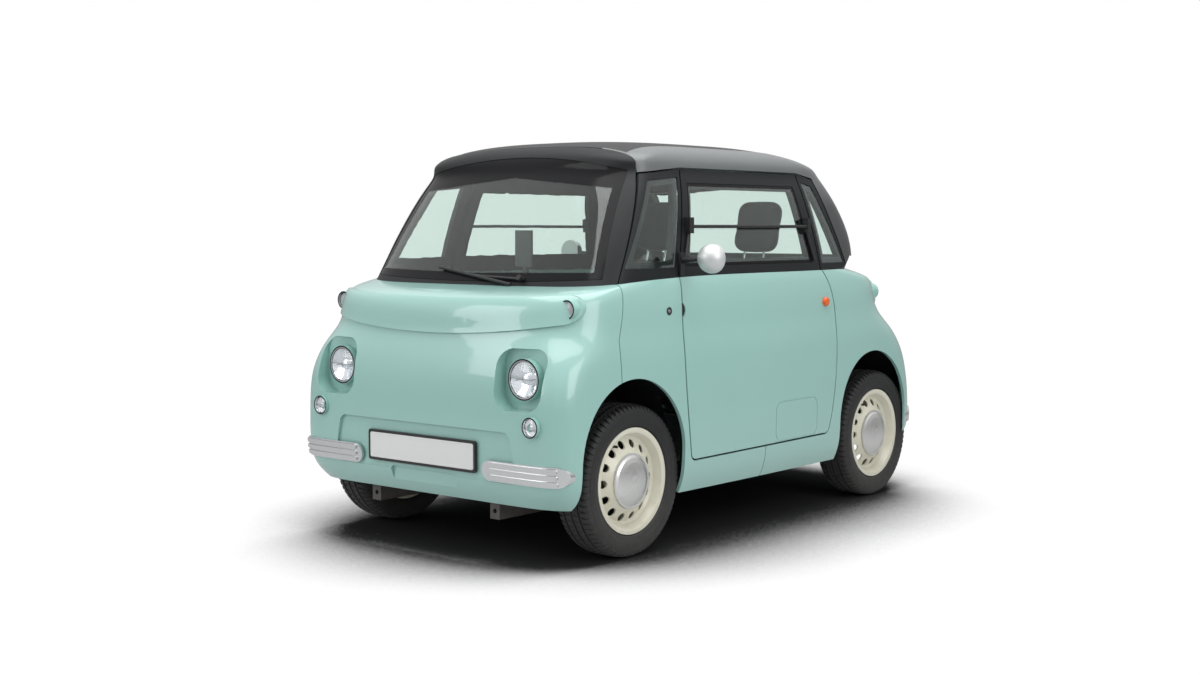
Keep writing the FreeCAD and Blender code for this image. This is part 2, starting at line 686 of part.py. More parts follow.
def roof_ring(climb):
    """Half width, front and rear reach, end lengths and squareness of the roof part way up."""
    eave = {field: size("eave_" + field) for field in RING_FIELDS}
    cap = size("eave_cap")
    front = (eave["front_reach"] - FRONT_AXLE) * (1 - climb ** 3) ** (1 / 9) * (1 - 0.05 * climb)
    rear = (eave["rear_reach"] + REAR_AXLE) * (1 - climb ** 1.6) ** (1 / 2.5)
    return (eave["half_width"] * (1 - climb ** 3) ** (1 / 4.5), front, rear,
            cap + (front - cap) * climb ** 3, cap + (rear - cap) * climb ** 2,
            eave["front_square"] + 1.2 * math.sin(math.pi * climb))


def roof_height(x, y):
    """Height of the roof above a place, found by closing in on the ring that passes over it."""
    low, high = 0.0, 0.9999
    for _ in range(40):
        climb = (low + high) / 2
        width, front, rear, front_cap, rear_cap, square = roof_ring(climb)
        cap, reach = (front_cap, front) if y < 0 else (rear_cap, rear)
        across = abs(x) / width / (1 - size("side_bow") * (y / 1000) ** 2)
        along = max(0.0, (abs(y) - reach + cap) / cap)
        if across ** square + along ** square < 1:
            low = climb
        else:
            high = climb
    return size("eave_height") + (size("roof_top") - size("eave_height")) * low


def roof_sheet():
    """The roof panel cut to its outline from a sheet that follows the roof."""
    columns = [-500 + 1000 * i / 16 for i in range(17)]
    rows = [-668 + 1120 * i / 18 for i in range(19)]
    faces = []
    for drop in (0, ROOF_PANEL_THICK):
        poles = [[Vector(x, y, roof_height(x, y) - drop) for x in columns] for y in rows]
        knots = [list(range(count - 2)) for count in (len(poles), len(poles[0]))]
        repeats = [[4] + [1] * (len(line) - 2) + [4] for line in knots]
        surface = Part.BSplineSurface()
        surface.buildFromPolesMultsKnots(poles, *repeats, *knots, False, False, 3, 3)
        faces.append(surface.toShape())
    walls = [Part.makeRuledSurface(edge, matching_edge(faces[1], edge)) for edge in faces[0].Edges]
    shell = Part.makeShell(faces + walls)
    shell.sewShape()
    solid = Part.makeSolid(shell)
    if solid.Volume < 0:
        solid.reverse()
    return solid.common(flat_prism(roof_outline, "z", 1300, 1600, -2))


roof_panel = roof_sheet()
keep("roof_panel", roof_panel)
roof_panel_room = roof_panel.copy()
roof_panel_room.translate(Vector(0, 0, -SEAT))


roof_room = flat_prism(roof_outline, "z", 1300, 1600)
roof_ledge_room = flat_prism(roof_outline, "z", 1300, 1600, -30)

front_frame = cabin_slab(FRONT_PATCH, 0, size("frame_thick"))
rebate, clear, pane = glazed(lambda a, b: cabin_slab(FRONT_PATCH, a, b), screen_outline, "y", -OUT, -300)
roof_rim = roof_room.cut(flat_prism(roof_outline, "z", 1300, 1600, -34))
roof_rebate = cabin_slab(FRONT_PATCH, -TOOL, ROOF_PANEL_THICK + SEAT).common(roof_rim)
surround = front_frame.common(flat_prism(front_of_pillars, "x", -OUT, OUT)).cut(rebate).cut(clear)
surround = surround.cut(roof_ledge_room).cut(roof_rebate).cut(roof_panel_room)
surround = inside_skin(surround, (front_tool, left_tool, right_tool))
keep("windscreen_surround", surround)
keep("windscreen", pane)

top_frame = cabin_slab(TOP_PATCH, 0, size("frame_thick"))
rebate, clear, pane = glazed(lambda a, b: cabin_slab(REAR_PATCH, a, b), rear_outline, "y", 300, OUT)
roof_rebate = cabin_slab(TOP_PATCH, -TOOL, ROOF_PANEL_THICK + SEAT).common(roof_rim)
shell = top_frame.common(flat_prism(behind_pillars, "x", -OUT, OUT, -size("panel_gap") / 2))
shell = shell.cut(rebate).cut(clear).cut(roof_ledge_room).cut(roof_rebate).cut(roof_panel_room)
keep("roof_shell", inside_skin(shell, (left_tool, right_tool, rear_tool)))
keep("rear_window", pane)

# Side frames and the small fixed windows ahead of and behind each door

def side_frame(side):
    """Frames and panes of one side: two frames as one piece and two panes as one piece."""
    gap = size("panel_gap")
    opening = left_opening if side > 0 else right_opening
    low = SCREEN_FOOT + 30
    front_room = side_outline([(PILLAR_FOOT + 16 + gap, low), (DOOR_MIDDLE, low),
                               (DOOR_MIDDLE, size("rail_height") - gap),
                               (DOOR_FRONT + 129, size("rail_height") - gap),
                               (PILLAR_HEAD + gap, EAVE - 6 - gap)])
    rear_room = side_outline([(DOOR_MIDDLE, low), (TAIL_FOOT - 16 - gap, low),
                              (TAIL_HEAD - gap, EAVE - 2 - gap),
                              (DOOR_REAR - 144, size("rail_height") - gap),
                              (DOOR_MIDDLE, size("rail_height") - gap)])
    ahead = (DOOR_FRONT - 6, DOOR_FRONT + 98)
    behind = (DOOR_REAR - 44, DOOR_REAR - 112)
    if side < 0:
        ahead, behind = [[2 * DOOR_MIDDLE - y for y in edge] for edge in (behind, ahead)]
    front_pane = side_outline([(FRONT_AXLE - 10, 1042), (ahead[0], 1042), (ahead[1], 1382),
                               (PILLAR_HEAD + 24, 1366)])
    rear_pane = side_outline([(behind[0], 1042), (TAIL_FOOT - 78, 1042), (TAIL_HEAD - 22, 1366),
                              (behind[1], 1382)])
    frame, panes = [], []
    slab = cabin_slab(LEFT_PATCH, 0, size("frame_thick"))
    for room, outline in ((front_room, front_pane), (rear_room, rear_pane)):
        rebate, clear, pane = glazed(lambda a, b: cabin_slab(LEFT_PATCH, a, b), outline, "x", 300, OUT)
        piece = slab.common(flat_prism(room, "x", 300, OUT)).cut(rebate).cut(clear)
        frame.append(mirrored(piece) if side < 0 else piece)
        panes.append(mirrored(pane) if side < 0 else pane)
    return [inside_skin(piece.cut(opening)) for piece in frame], panes


left_frames, left_panes = side_frame(1)
right_frames, right_panes = side_frame(-1)
keep("side_frames", Part.makeCompound(left_frames + right_frames))
keep("quarter_windows", Part.makeCompound(left_panes + right_panes))


# Doors: shell below the belt, window frame, pane, mirror. The right door is the left one turned round

hinge_line = DOOR_REAR - size("hinge_setback")
lower_pin = Vector(skin_x(hinge_line, size("lower_hinge_height"), body_rings) - size("hinge_inset"),
                   hinge_line, size("lower_hinge_height"))
upper_pin = Vector(skin_x(hinge_line, size("upper_hinge_height"), body_rings) - size("hinge_inset"),
                   hinge_line, size("upper_hinge_height"))
hinge_axis = (upper_pin - lower_pin).normalize()
ARM = 9             # half the height of a hinge arm
PIN_REACH = 26      # a pin's length past its arm, up and down
BORE_GAP = 0.4      # clearance of a hinge pin in the door
ROOM = 3            # clearance of a hinge arm in the door


def along_hinge(point, distance):
    """A place on the hinge axis above or below a pin's middle."""
    return point + hinge_axis * distance


def door_shell():
    """Door below the belt: outer skin with a flange, and a box behind it; notches for the hinges."""
    flange = body_slab(LEFT_PATCH, 0, size("door_flange")).common(flat_prism(door_outline, "x", 300, OUT))
    inner = body_slab(LEFT_PATCH, size("door_flange") - 1, size("door_thick")).common(
        flat_prism(door_outline, "x", 300, OUT, -size("door_flange_reach")))
    shell = flange.fuse(inner)
    for pin in (lower_pin, upper_pin):
        notch = box(pin.x - 90, pin.x + 6.4, pin.y - 12, pin.y + 110, pin.z - ARM - ROOM, pin.z + ARM + ROOM)
        shell = shell.cut(notch)
        bore = size("hinge_pin_radius") + BORE_GAP
        reach = PIN_REACH + ARM + 2
        shell = shell.cut(cylinder(bore, along_hinge(pin, -reach), along_hinge(pin, reach)))
    flap = prism([(DOOR_MIDDLE + 57, 331), (DOOR_MIDDLE + 370, 331), (DOOR_MIDDLE + 370, 492),
                  (DOOR_MIDDLE + 57, 492)], "x", 300, OUT, 40)
    flap_line = flap.cut(prism([(DOOR_MIDDLE + 60, 334), (DOOR_MIDDLE + 367, 334), (DOOR_MIDDLE + 367, 489),
                                (DOOR_MIDDLE + 60, 489)], "x", 300, OUT, 37))
    shell = shell.cut(flap_line.common(body_slab(LEFT_PATCH, -5, 2)))
    latch = cylinder(32, (300, DOOR_FRONT - 12, 886), (OUT, DOOR_FRONT - 12, 886))
    return shell.cut(latch.common(body_slab(LEFT_PATCH, -5, 30)))


def window_frame(shell):
    """Door's window frame with its rebate, and the pane, over the door's shell."""
    window = side_outline([(DOOR_FRONT + 66, 1046), (DOOR_REAR - 122, 1046), (DOOR_REAR - 186, 1362),
                           (DOOR_FRONT + 148, 1362)])
    rebate, clear, pane = glazed(lambda a, b: cabin_slab(LEFT_PATCH, a, b), window, "x", 300, OUT)
    outer = cabin_slab(LEFT_PATCH, 0, 12).common(flat_prism(door_outline, "x", 300, OUT))
    inner_room = flat_prism(door_outline, "x", 300, OUT, -14)
    inner = cabin_slab(LEFT_PATCH, 11, size("frame_thick")).common(inner_room)
    frame = outer.fuse(inner).cut(rebate).cut(clear)
    above = box(300, OUT, -OUT, OUT, size("belt_height") - 20, OUT)
    return frame.common(above).cut(shell).cut(body_slab(LEFT_PATCH, -TOOL, 1)), pane


def window_rail():
    """Bar across the window on two brackets, with an arm down each side to the flap's hinges."""
    z = 1196
    x = skin_x(DOOR_MIDDLE, z, cabin_rings)
    front, rear = DOOR_FRONT + 100, DOOR_REAR - 150
    bar = cylinder(6.5, (x + 14, front, z), (x + 14, rear, z))
    pieces = [bar]
    for y, toe in ((front, DOOR_FRONT + 52), (rear, DOOR_REAR - 112)):
        pieces.append(box(x - 12, x + 22, y - 13, y + 13, z - 26, z + 34))
        foot = skin_x(toe, 1056, cabin_rings)
        pieces.append(cylinder(7, (x + 8, y, z - 20), (foot + 6, toe, 1056)))
    return fused(pieces).cut(cabin_slab(LEFT_PATCH, SEAT - 0.6, 60))


def mirror():
    """Round mirror with its arm and bracket."""
    y, z = DOOR_FRONT + 19, size("mirror_height")
    face = skin_x(DOOR_FRONT + 40, z, cabin_rings)
    x = face + size("mirror_reach") + size("mirror_radius") - 20
    radius = size("mirror_radius")
    dome_room = box(x - 90, x + 90, y - 90, y + 22, z - 90, z + 90)
    dome = Part.makeSphere(radius, Vector(x, y + 14, z)).common(dome_room)
    stalk = Part.makeCone(13, 6, x - 30 - face, Vector(face + 4, y + 14, z - 8), Vector(1, 0, 0.06))
    foot = box(face - 12, face + 14, y - 2, y + 24, z - 66, z + 22)
    bracket = foot.cut(cabin_slab(LEFT_PATCH, -0.0, 60)).cut(body_slab(LEFT_PATCH, -1, 60))
    return dome.fuse(stalk).fuse(bracket)


shell = door_shell()
frame, pane = window_frame(shell)
rail = window_rail()
door_pieces = (("door_shell", shell), ("window_frame", frame), ("door_glass", pane), ("window_rail", rail),
               ("mirror", mirror()))
right_cabin = mirrored(cabin_slab(LEFT_PATCH, -SEAT, TOOL))
for label, piece in door_pieces:
    keep("left_" + label, piece)
    right_piece = turned(piece)
    keep("right_" + label, right_piece.cut(right_cabin) if label == "mirror" else right_piece)


# Wheel houses

def wheel_house(points, top_radius, inner):
    """Outer volume of a wheel house, or the room inside it."""
    thick = size("liner_thick")
    outline = side_outline(points)
    start = size("liner_half_width") - (0 if inner else thick)
    solid = flat_prism(outline, "x", start, 690, -thick if inner else 0)
    edges = [e for e in solid.Edges if isinstance(e.Curve, Part.Line)
             and abs(e.Vertexes[0].Point.x - e.Vertexes[1].Point.x) > 100 and e.CenterOfMass.z > 600]
    return solid.makeFillet(top_radius - (thick if inner else 0), edges)


LINER_LOW = 214     # lower edge of the wheel houses, just above the hem of the panels


def liner_points(axle, ahead, behind):
    """Wheel house seen from the side."""
    top = AXLE_HEIGHT + size("arch_rise") + size("arch_radius") + 12
    return [(axle - ahead, LINER_LOW), (axle - ahead, top), (axle + behind, top), (axle + behind, LINER_LOW)]


front_house = liner_points(FRONT_AXLE, size("steer_room") + 14, size("steer_room") + 11)
rear_house = liner_points(REAR_AXLE, size("arch_radius") + size("rear_arch_shift") - 3, 296)
SWING = size("hinge_setback") + 16      # radius round a hinge that the door's rear flange sweeps
left_swing = cylinder(SWING, along_hinge(lower_pin, -400), along_hinge(upper_pin, 400))
right_swing = turned(left_swing)
door_room = door_opening(14, 560)


def clear_of_doors(shape, side):
    """A shape without the room that the door of its side needs."""
    if side < 0:
        return shape.cut(right_swing).cut(turned(door_room))
    return shape.cut(left_swing).cut(door_room)


def liner(points, radius, side, windows):
    """Inner wheel arch, open below and outwards, with openings in its inner wall."""
    shape = wheel_house(points, radius, False).cut(wheel_house(points, radius, True))
    shape = shape.cut(box(300, 720, -OUT, OUT, 190, LINER_LOW + size("liner_thick") + 1))
    for window in windows:
        shape = shape.cut(box(320, 360, *window))
    return inside_skin(clear_of_doors(mirrored(shape) if side < 0 else shape, side))


front_windows = ((FRONT_AXLE - 90, FRONT_AXLE + 90, 190, 330), (FRONT_AXLE - 40, FRONT_AXLE + 40, 556, 612))
rear_windows = ((REAR_AXLE - 60, REAR_AXLE + 60, 190, 340),)
liners = [liner(front_house, 270, 1, front_windows), liner(front_house, 270, -1, front_windows),
          liner(rear_house, 200, 1, rear_windows), liner(rear_house, 200, -1, rear_windows)]
keep("wheel_houses", Part.makeCompound(liners))


# Floor, frame and posts

FLOOR_LOW = size("ground_clearance") + size("rail_depth") + 2
FLOOR_TOP = FLOOR_LOW + size("floor_thick")
HOUSE_WALL = size("liner_half_width") - size("liner_thick") - 3
HOUSE_TOP = AXLE_HEIGHT + size("arch_rise") + size("arch_radius") + 12
FLOOR_FRONT = FRONT_AXLE + size("steer_room") + 19
BULKHEAD = REAR_AXLE - 388
SILL_TOP = 300
BUMPER_REACH = 1280 # past the fascias, within the tools that trim to them
SHEET = 16          # thickness of bulkhead, toe board and luggage shelf


def floor_pan():
    """Cabin floor with the sills, the toe board, the bulkhead and the luggage shelf."""
    half = size("floor_half_width")
    pieces = [box(-half, half, FLOOR_FRONT, BULKHEAD + SHEET, FLOOR_LOW, FLOOR_TOP),
              box(-HOUSE_WALL, HOUSE_WALL, FRONT_AXLE + 200, FLOOR_FRONT + 1, FLOOR_LOW, FLOOR_TOP),
              box(-HOUSE_WALL, HOUSE_WALL, FRONT_AXLE + 200, FRONT_AXLE + 200 + SHEET, FLOOR_LOW, HOUSE_TOP),
              box(-half, half, BULKHEAD, BULKHEAD + SHEET, FLOOR_LOW, HOUSE_TOP + 3 + SHEET),
              box(-half + 20, half - 20, BULKHEAD, BULKHEAD + 40, HOUSE_TOP + 3, HOUSE_TOP + 3 + SHEET),
              box(-620, 620, BULKHEAD + 34, BUMPER_REACH - 100, HOUSE_TOP + 3, HOUSE_TOP + 3 + SHEET),
              box(half - 1, 690, FLOOR_FRONT + 6, BULKHEAD - 8, 216, SILL_TOP),
              box(-690, -half + 1, FLOOR_FRONT + 6, BULKHEAD - 8, 216, SILL_TOP)]
    return inside_skin(fused(pieces))


keep("floor_pan", floor_pan())


def chassis():
    """Two rails with cross members, suspension towers and the beams behind the fascias."""
    low, high = size("ground_clearance"), size("ground_clearance") + size("rail_depth")
    middle, half = size("rail_half_track"), size("rail_width") / 2
    pieces = []
    nose, tail = FRONT_AXLE - 360, REAR_AXLE + 312
    for side in (-1, 1):
        x = side * middle
        pieces.append(box(x - half, x + half, nose, tail, low, high))
        pieces.append(box(x - half, x + half, nose, nose + 40, low, 420))
        pieces.append(box(x - half, x + half, tail - 40, tail, low, 420))
        pieces.append(box(x - half, x + half - 4, FRONT_AXLE - 40, FRONT_AXLE + 40, low, HOUSE_TOP - 20)
                      if side > 0 else
                      box(x - half + 4, x + half, FRONT_AXLE - 40, FRONT_AXLE + 40, low, HOUSE_TOP - 20))
    for y in (FRONT_AXLE + 150, DOOR_MIDDLE - 20, BULKHEAD - 60, REAR_AXLE + 120):
        pieces.append(box(-middle, middle, y, y + 40, low, high))
    pieces.append(box(-560, 560, -BUMPER_REACH, FRONT_AXLE - 338, 345, 415))
    pieces.append(box(-560, 560, REAR_AXLE + 302, BUMPER_REACH, 345, 415))
    frame = inside_skin(fused(pieces))
    frame = frame.cut(cylinder(size("half_shaft_radius") + 8, (-OUT, FRONT_AXLE, AXLE_HEIGHT),
                               (OUT, FRONT_AXLE, AXLE_HEIGHT)))
    for side in (-1, 1):
        frame = frame.cut(cylinder(size("tow_eye_radius"), (side * middle, nose - 10, low + 30),
                                   (side * middle, nose + size("tow_eye_depth"), low + 30)))
    return frame


keep("chassis_frame", chassis())


def hinge_arm(pin):
    """Arm from a hinge post out to the pin, with the pin itself."""
    boss = cylinder(ARM - 3.6, along_hinge(pin, -ARM), along_hinge(pin, ARM))
    arm = box(HINGE_POST_OUT - 2, pin.x, pin.y - ARM + 3, pin.y + ARM - 3, pin.z - ARM, pin.z + ARM)
    reach = PIN_REACH + ARM
    rod = cylinder(size("hinge_pin_radius"), along_hinge(pin, -reach), along_hinge(pin, reach))
    return fused([boss, arm, rod])


HINGE_POST_OUT = size("post_out")
post_half = size("post_width") / 2
hinge_post = box(HINGE_POST_OUT - size("post_width"), HINGE_POST_OUT, hinge_line - post_half,
                 hinge_line + post_half, FLOOR_TOP + SEAT, size("upper_hinge_height") + 60)
hinge_post = fused([hinge_post, hinge_arm(lower_pin), hinge_arm(upper_pin)])
post_slab = body_slab(LEFT_PATCH, size("door_thick") + 7, size("door_thick") + 40)
latch_post = post_slab.common(box(300, OUT, FLOOR_FRONT + 10, FLOOR_FRONT + 46, SILL_TOP + SEAT, 962))
cowl_beam = inside_skin(box(-690, 690, FRONT_AXLE - 30, FRONT_AXLE + 30, HOUSE_TOP + SEAT, HOUSE_TOP + 36))
keep("body_frame", Part.makeCompound([hinge_post, turned(hinge_post), latch_post, turned(latch_post),
                                      cowl_beam]))


# Blocks and bars made from driven primitives

def driven(kind, name, **formulas):
    """A primitive whose sizes and place are formulas on the sheet."""
    piece = doc.addObject("Part::" + kind, name)
    for prop, formula in formulas.items():
        piece.setExpression(prop.replace("At", "Placement.Base."), str(formula))
    return piece


def joined(name, pieces):
    """One solid from driven primitives."""
    union = doc.addObject("Part::MultiFuse", name)
    union.Shapes = pieces
    return keep(name, union)


sheet.set("E1", "=front_overhang-(front_overhang+wheel_base+rear_overhang)/2")
sheet.setAlias("E1", "front_axle")
sheet.set("E2", "=front_axle+wheel_base")
sheet.setAlias("E2", "rear_axle")
sheet.set("E3", "=ground_clearance+rail_depth+2+floor_thick")
sheet.setAlias("E3", "floor_top")
doc.recompute()

keep("battery_pack", driven("Box", "battery_pack", Length="Sizes.battery_width", Width="Sizes.battery_length",
                            Height="Sizes.battery_height", Atx="-Sizes.battery_width/2",
                            Aty="Sizes.rear_axle-870", Atz="Sizes.floor_top+Sizes.seat_gap"))

motor = driven("Box", "motor_block", Length="Sizes.motor_width", Width="Sizes.motor_length",
               Height="Sizes.motor_height", Atx="-Sizes.motor_width/2",
               Aty="Sizes.front_axle-Sizes.motor_length*0.75",
               Atz="Sizes.ground_clearance+Sizes.rail_depth+Sizes.seat_gap")
cradle = driven("Box", "motor_cradle", Length="2*Sizes.rail_half_track+2*Sizes.cradle_overlap",
                Width="Sizes.cradle_width", Height="Sizes.cradle_height",
                Atx="-Sizes.rail_half_track-Sizes.cradle_overlap", Aty="Sizes.front_axle-165",
                Atz="Sizes.ground_clearance+Sizes.rail_depth+Sizes.seat_gap")
shafts = driven("Cylinder", "half_shafts", Radius="Sizes.half_shaft_radius",
                Height="2*Sizes.half_shaft_reach", Atx="-Sizes.half_shaft_reach",
                Aty="Sizes.front_axle", Atz="Sizes.tyre_radius")
shafts.Placement = Placement(shafts.Placement.Base, Rotation(Vector(0, 1, 0), 90))
joined("drive_unit", [motor, cradle, shafts])


# Running gear

def suspension():
    """Lower arms with their ball eyes, struts with their brackets, and the steering rack."""
    kingpin, inner = size("kingpin_half_track"), size("rail_half_track") + size("rail_width") / 2 + SEAT
    low, y = size("lower_arm_height"), FRONT_AXLE
    eye_high = low + 22
    arm = prism([(inner, y - 80), (kingpin, y - 14), ("via", kingpin + 14, y), (kingpin, y + 14),
                 (inner, y + 80), (inner, y + 44), (kingpin - 60, y + 8), (kingpin - 60, y - 8),
                 (inner, y - 44)], "z", low, eye_high)
    strut_x = kingpin - 35
    top = STRUT_FOOT + 170
    foot = prism([(strut_x - 24, y - 14), (kingpin, y - 14), ("via", kingpin + 14, y), (kingpin, y + 14),
                  (strut_x - 24, y + 14)], "z", STRUT_FOOT, STRUT_FOOT + 26)
    strut = cylinder(22, (strut_x, y, STRUT_FOOT + 10), (strut_x, y, top))
    spring = cylinder(38, (strut_x - 12, y, top - 90), (strut_x - 12, y, top))
    bracket = box(inner - 4, strut_x + 22, y - 32, y + 32, top - 6, top + 26)
    upright = fused([foot, strut, spring, bracket])
    bore = size("ball_pin_radius") + BORE_GAP
    hole = cylinder(bore, (kingpin, y, low - 5), (kingpin, y, STRUT_FOOT + 60))
    corner = Part.makeCompound([arm.cut(hole), upright.cut(hole)])
    rack_y = y + 110
    rack = cylinder(24, (-HOUSE_WALL + 6, rack_y, 262), (HOUSE_WALL - 6, rack_y, 262))
    rail = size("rail_half_track")
    mounts = [box(side * rail - 20, side * rail + 20, rack_y - 18, rack_y + 18, 210 + SEAT, 262)
              for side in (-1, 1)]
    return Part.makeCompound([corner, mirrored(corner), fused([rack] + mounts)])


STRUT_FOOT = 404
KNUCKLE_LOW = size("lower_arm_height") + 22 + 4
STUB_TIP = size("wheel_track_half") + 11


def knuckle():
    """Left steering knuckle: upright with its ball pins, spindle boss, spindle and steering arm."""
    kingpin, y, z = size("kingpin_half_track"), FRONT_AXLE, AXLE_HEIGHT
    pin = size("ball_pin_radius")
    pieces = [box(kingpin - 12, kingpin + 12, y - 20, y + 20, KNUCKLE_LOW, STRUT_FOOT - 4),
              cylinder(pin, (kingpin, y, size("lower_arm_height") + 2), (kingpin, y, STRUT_FOOT + 22)),
              cylinder(35, (kingpin + 6, y, z), (kingpin + 50, y, z)),
              cylinder(size("spindle_radius"), (kingpin, y, z), (STUB_TIP, y, z)),
              box(kingpin - 6, kingpin + 6, y, y + 112, KNUCKLE_LOW + 16, KNUCKLE_LOW + 30)]
    return fused(pieces)


def rear_axle():
    """Rear beam with its trailing arms, backplates and spindles."""
    y, z = REAR_AXLE, AXLE_HEIGHT
    pieces = [cylinder(28, (-500, y, z), (500, y, z)), cylinder(size("spindle_radius"), (-STUB_TIP, y, z),
                                                                (STUB_TIP, y, z))]
    for side in (-1, 1):
        pieces.append(cylinder(35, (side * 499, y, z), (side * 540, y, z)))
        pieces.append(cylinder(85, (side * 499, y, z), (side * 508, y, z)))
        x = side * size("rail_half_track")
        pieces.append(box(x - 16, x + 16, y - 300, y, 210 + SEAT, 262))
        pieces.append(cylinder(24, (x, y, 262), (x, y, 560)))
    return fused(pieces)


keep("front_suspension", suspension())
keep("left_knuckle", knuckle())
keep("right_knuckle", mirrored(knuckle()))
keep("rear_axle", rear_axle())


# Wheels, each turned about its own axle

def revolved(name, points):
    """A body turned about its X axis from a closed profile; each corner is a pair of formulas."""
    body = doc.addObject("PartDesign::Body", name)
    sketch = body.newObject("Sketcher::SketchObject", name + "_profile")
    sketch.AttachmentSupport = (body.Origin.OriginFeatures[3], [""])
    sketch.MapMode = "FlatFace"
    spots = [Vector(*(float(sheet.evalExpression(str(f))) for f in pair), 0) for pair in points]
    for start, end in zip(spots, spots[1:] + spots[:1]):
        sketch.addGeometry(Part.LineSegment(start, end), False)
    count = len(points)
    for i in range(count):
        sketch.addConstraint(Sketcher.Constraint("Coincident", i, 2, (i + 1) % count, 1))
    for i, (along, radius) in enumerate(points):
        for kind, formula, number in (("DistanceX", along, spots[i].x), ("DistanceY", radius, spots[i].y)):
            index = sketch.addConstraint(Sketcher.Constraint(kind, -1, 1, i, 1, number))
            sketch.renameConstraint(index, f"{kind}{i}")
            sketch.setExpression(f"Constraints.{kind}{i}", str(formula))
    turn = body.newObject("PartDesign::Revolution", name + "_turned")
    turn.Profile = sketch
    turn.ReferenceAxis = (sketch, ["H_Axis"])
    turn.Angle = 360
    return body


def bored(body, name):
    """Vent holes round a rim."""
    sketch = body.newObject("Sketcher::SketchObject", name + "_hole")
    sketch.AttachmentSupport = (body.Origin.OriginFeatures[5], [""])
    sketch.MapMode = "FlatFace"
    middle, radius = size("rim_hole_circle"), size("rim_hole_radius")
    sketch.addGeometry(Part.Circle(Vector(middle, 0, 0), Vector(0, 0, 1), radius), False)
    sketch.addConstraint(Sketcher.Constraint("PointOnObject", 0, 3, -1))
    for label, constraint in (("circle", Sketcher.Constraint("DistanceX", -1, 1, 0, 3, middle)),
                              ("hole", Sketcher.Constraint("Radius", 0, radius))):
        sketch.renameConstraint(sketch.addConstraint(constraint), label)
        sketch.setExpression("Constraints." + label, "Sizes.rim_hole_" + {"hole": "radius"}.get(label, label))
    pocket = body.newObject("PartDesign::Pocket", name + "_vent")
    pocket.Profile = sketch
    pocket.Type = 1
    pocket.Midplane = True
    pattern = body.newObject("PartDesign::PolarPattern", name + "_vents")
    pattern.Originals = [pocket]
    pattern.Axis = (body.Origin.OriginFeatures[0], [""])
    pattern.Angle = 360
    pattern.setExpression("Occurrences", "Sizes.rim_hole_count")
    body.Tip = pattern


R, W, B = "Sizes.tyre_radius", "Sizes.tyre_width/2", "Sizes.bead_radius"
F, E, D = "Sizes.rim_flange_radius", "Sizes.rim_half_width", "Sizes.disc_offset"
TYRE_OUTER = ((f"{E}-4.5", f"{B}+0.3"), (f"{E}-4.5", f"{F}+2"), (W, f"{R}-46"), (f"{W}-4", f"{R}-20"),
              (f"{W}-15", f"{R}-6"), (f"{W}-40", f"{R}"))
TYRE_INNER = ((f"{W}-22", f"{R}-16"), (f"{W}-11", f"{R}-44"), (f"{E}-20", f"{B}+0.3"))


def tyre_profile():
    """Corners of the tyre's section, open towards the rim."""
    across = [(f"-({a})", r) for a, r in reversed(TYRE_OUTER)]
    inside = [(f"-({a})", r) for a, r in reversed(TYRE_INNER)]
    return list(TYRE_OUTER) + across + inside + list(TYRE_INNER)


HUB, BORE = "Sizes.hub_radius", "Sizes.spindle_radius+Sizes.spindle_gap"
SEAT_FACE, CAP_SEAT = "(Sizes.disc_offset+Sizes.disc_cone)", "Sizes.cap_seat_radius"
RIM_PROFILE = ((E, F), (f"{E}-4", F), (f"{E}-4", B), (f"4-{E}", B), (f"4-{E}", F), (f"-{E}", F),
               (f"-{E}", f"{B}-6"), (f"{D}-12", f"{B}-6"), (f"{D}-6", f"{B}-14"), (f"{D}-6", f"{B}-26"),
               (f"{SEAT_FACE}-6", f"{CAP_SEAT}-4"), (f"{SEAT_FACE}-6", HUB), ("-44", HUB), ("-44", BORE),
               ("13", BORE), ("13", 0), (SEAT_FACE, 0), (SEAT_FACE, CAP_SEAT), (D, f"{B}-28"),
               (f"{D}+6", f"{B}-18"), (f"{E}-3", f"{B}-3"), (E, f"{B}+4"))
CAP_RADIUS, RISE, STEP = "Sizes.hub_cap_radius", "Sizes.hub_cap_rise", "Sizes.hub_cap_step"
CAP_DOME = ((0.93, 0.0), (0.84, 0.28), (0.68, 0.56), (0.46, 0.80), (0.22, 0.95), (0.0, 1.0))


def cap_profile():
    """Corners of the hub cap's section, a thin dome with a flat rim."""
    seat = f"{SEAT_FACE}+Sizes.seat_gap"
    rim = [(seat, CAP_RADIUS), (f"{SEAT_FACE}+{STEP}", CAP_RADIUS)]
    outer = [(f"{SEAT_FACE}+{STEP}+{rise}*({RISE}-{STEP})", f"{CAP_RADIUS}*{share}")
             for share, rise in CAP_DOME]
    inner = [(f"{SEAT_FACE}+{STEP}+{rise}*({RISE}-{STEP})-3", f"({CAP_RADIUS}-4)*{share}")
             for share, rise in CAP_DOME[::-1]]
    return rim + outer + inner + [(seat, f"({CAP_RADIUS}-4)*0.95")]


WHEELS = (("left_front", 1, FRONT_AXLE), ("right_front", -1, FRONT_AXLE), ("left_rear", 1, REAR_AXLE),
          ("right_rear", -1, REAR_AXLE))
for corner, side, axle in WHEELS:
    facing = Rotation(Vector(0, 0, 1), 0 if side > 0 else 180)
    for label, profile in (("tyre", tyre_profile()), ("rim", RIM_PROFILE), ("hub_cap", cap_profile())):
        body = revolved(corner + "_" + label, profile)
        if label == "rim":
            bored(body, corner + "_" + label)
        body.Placement = Placement(Vector(side * size("wheel_track_half"), axle, AXLE_HEIGHT), facing)
        keep(corner + "_" + label, body)


# Cabin fittings

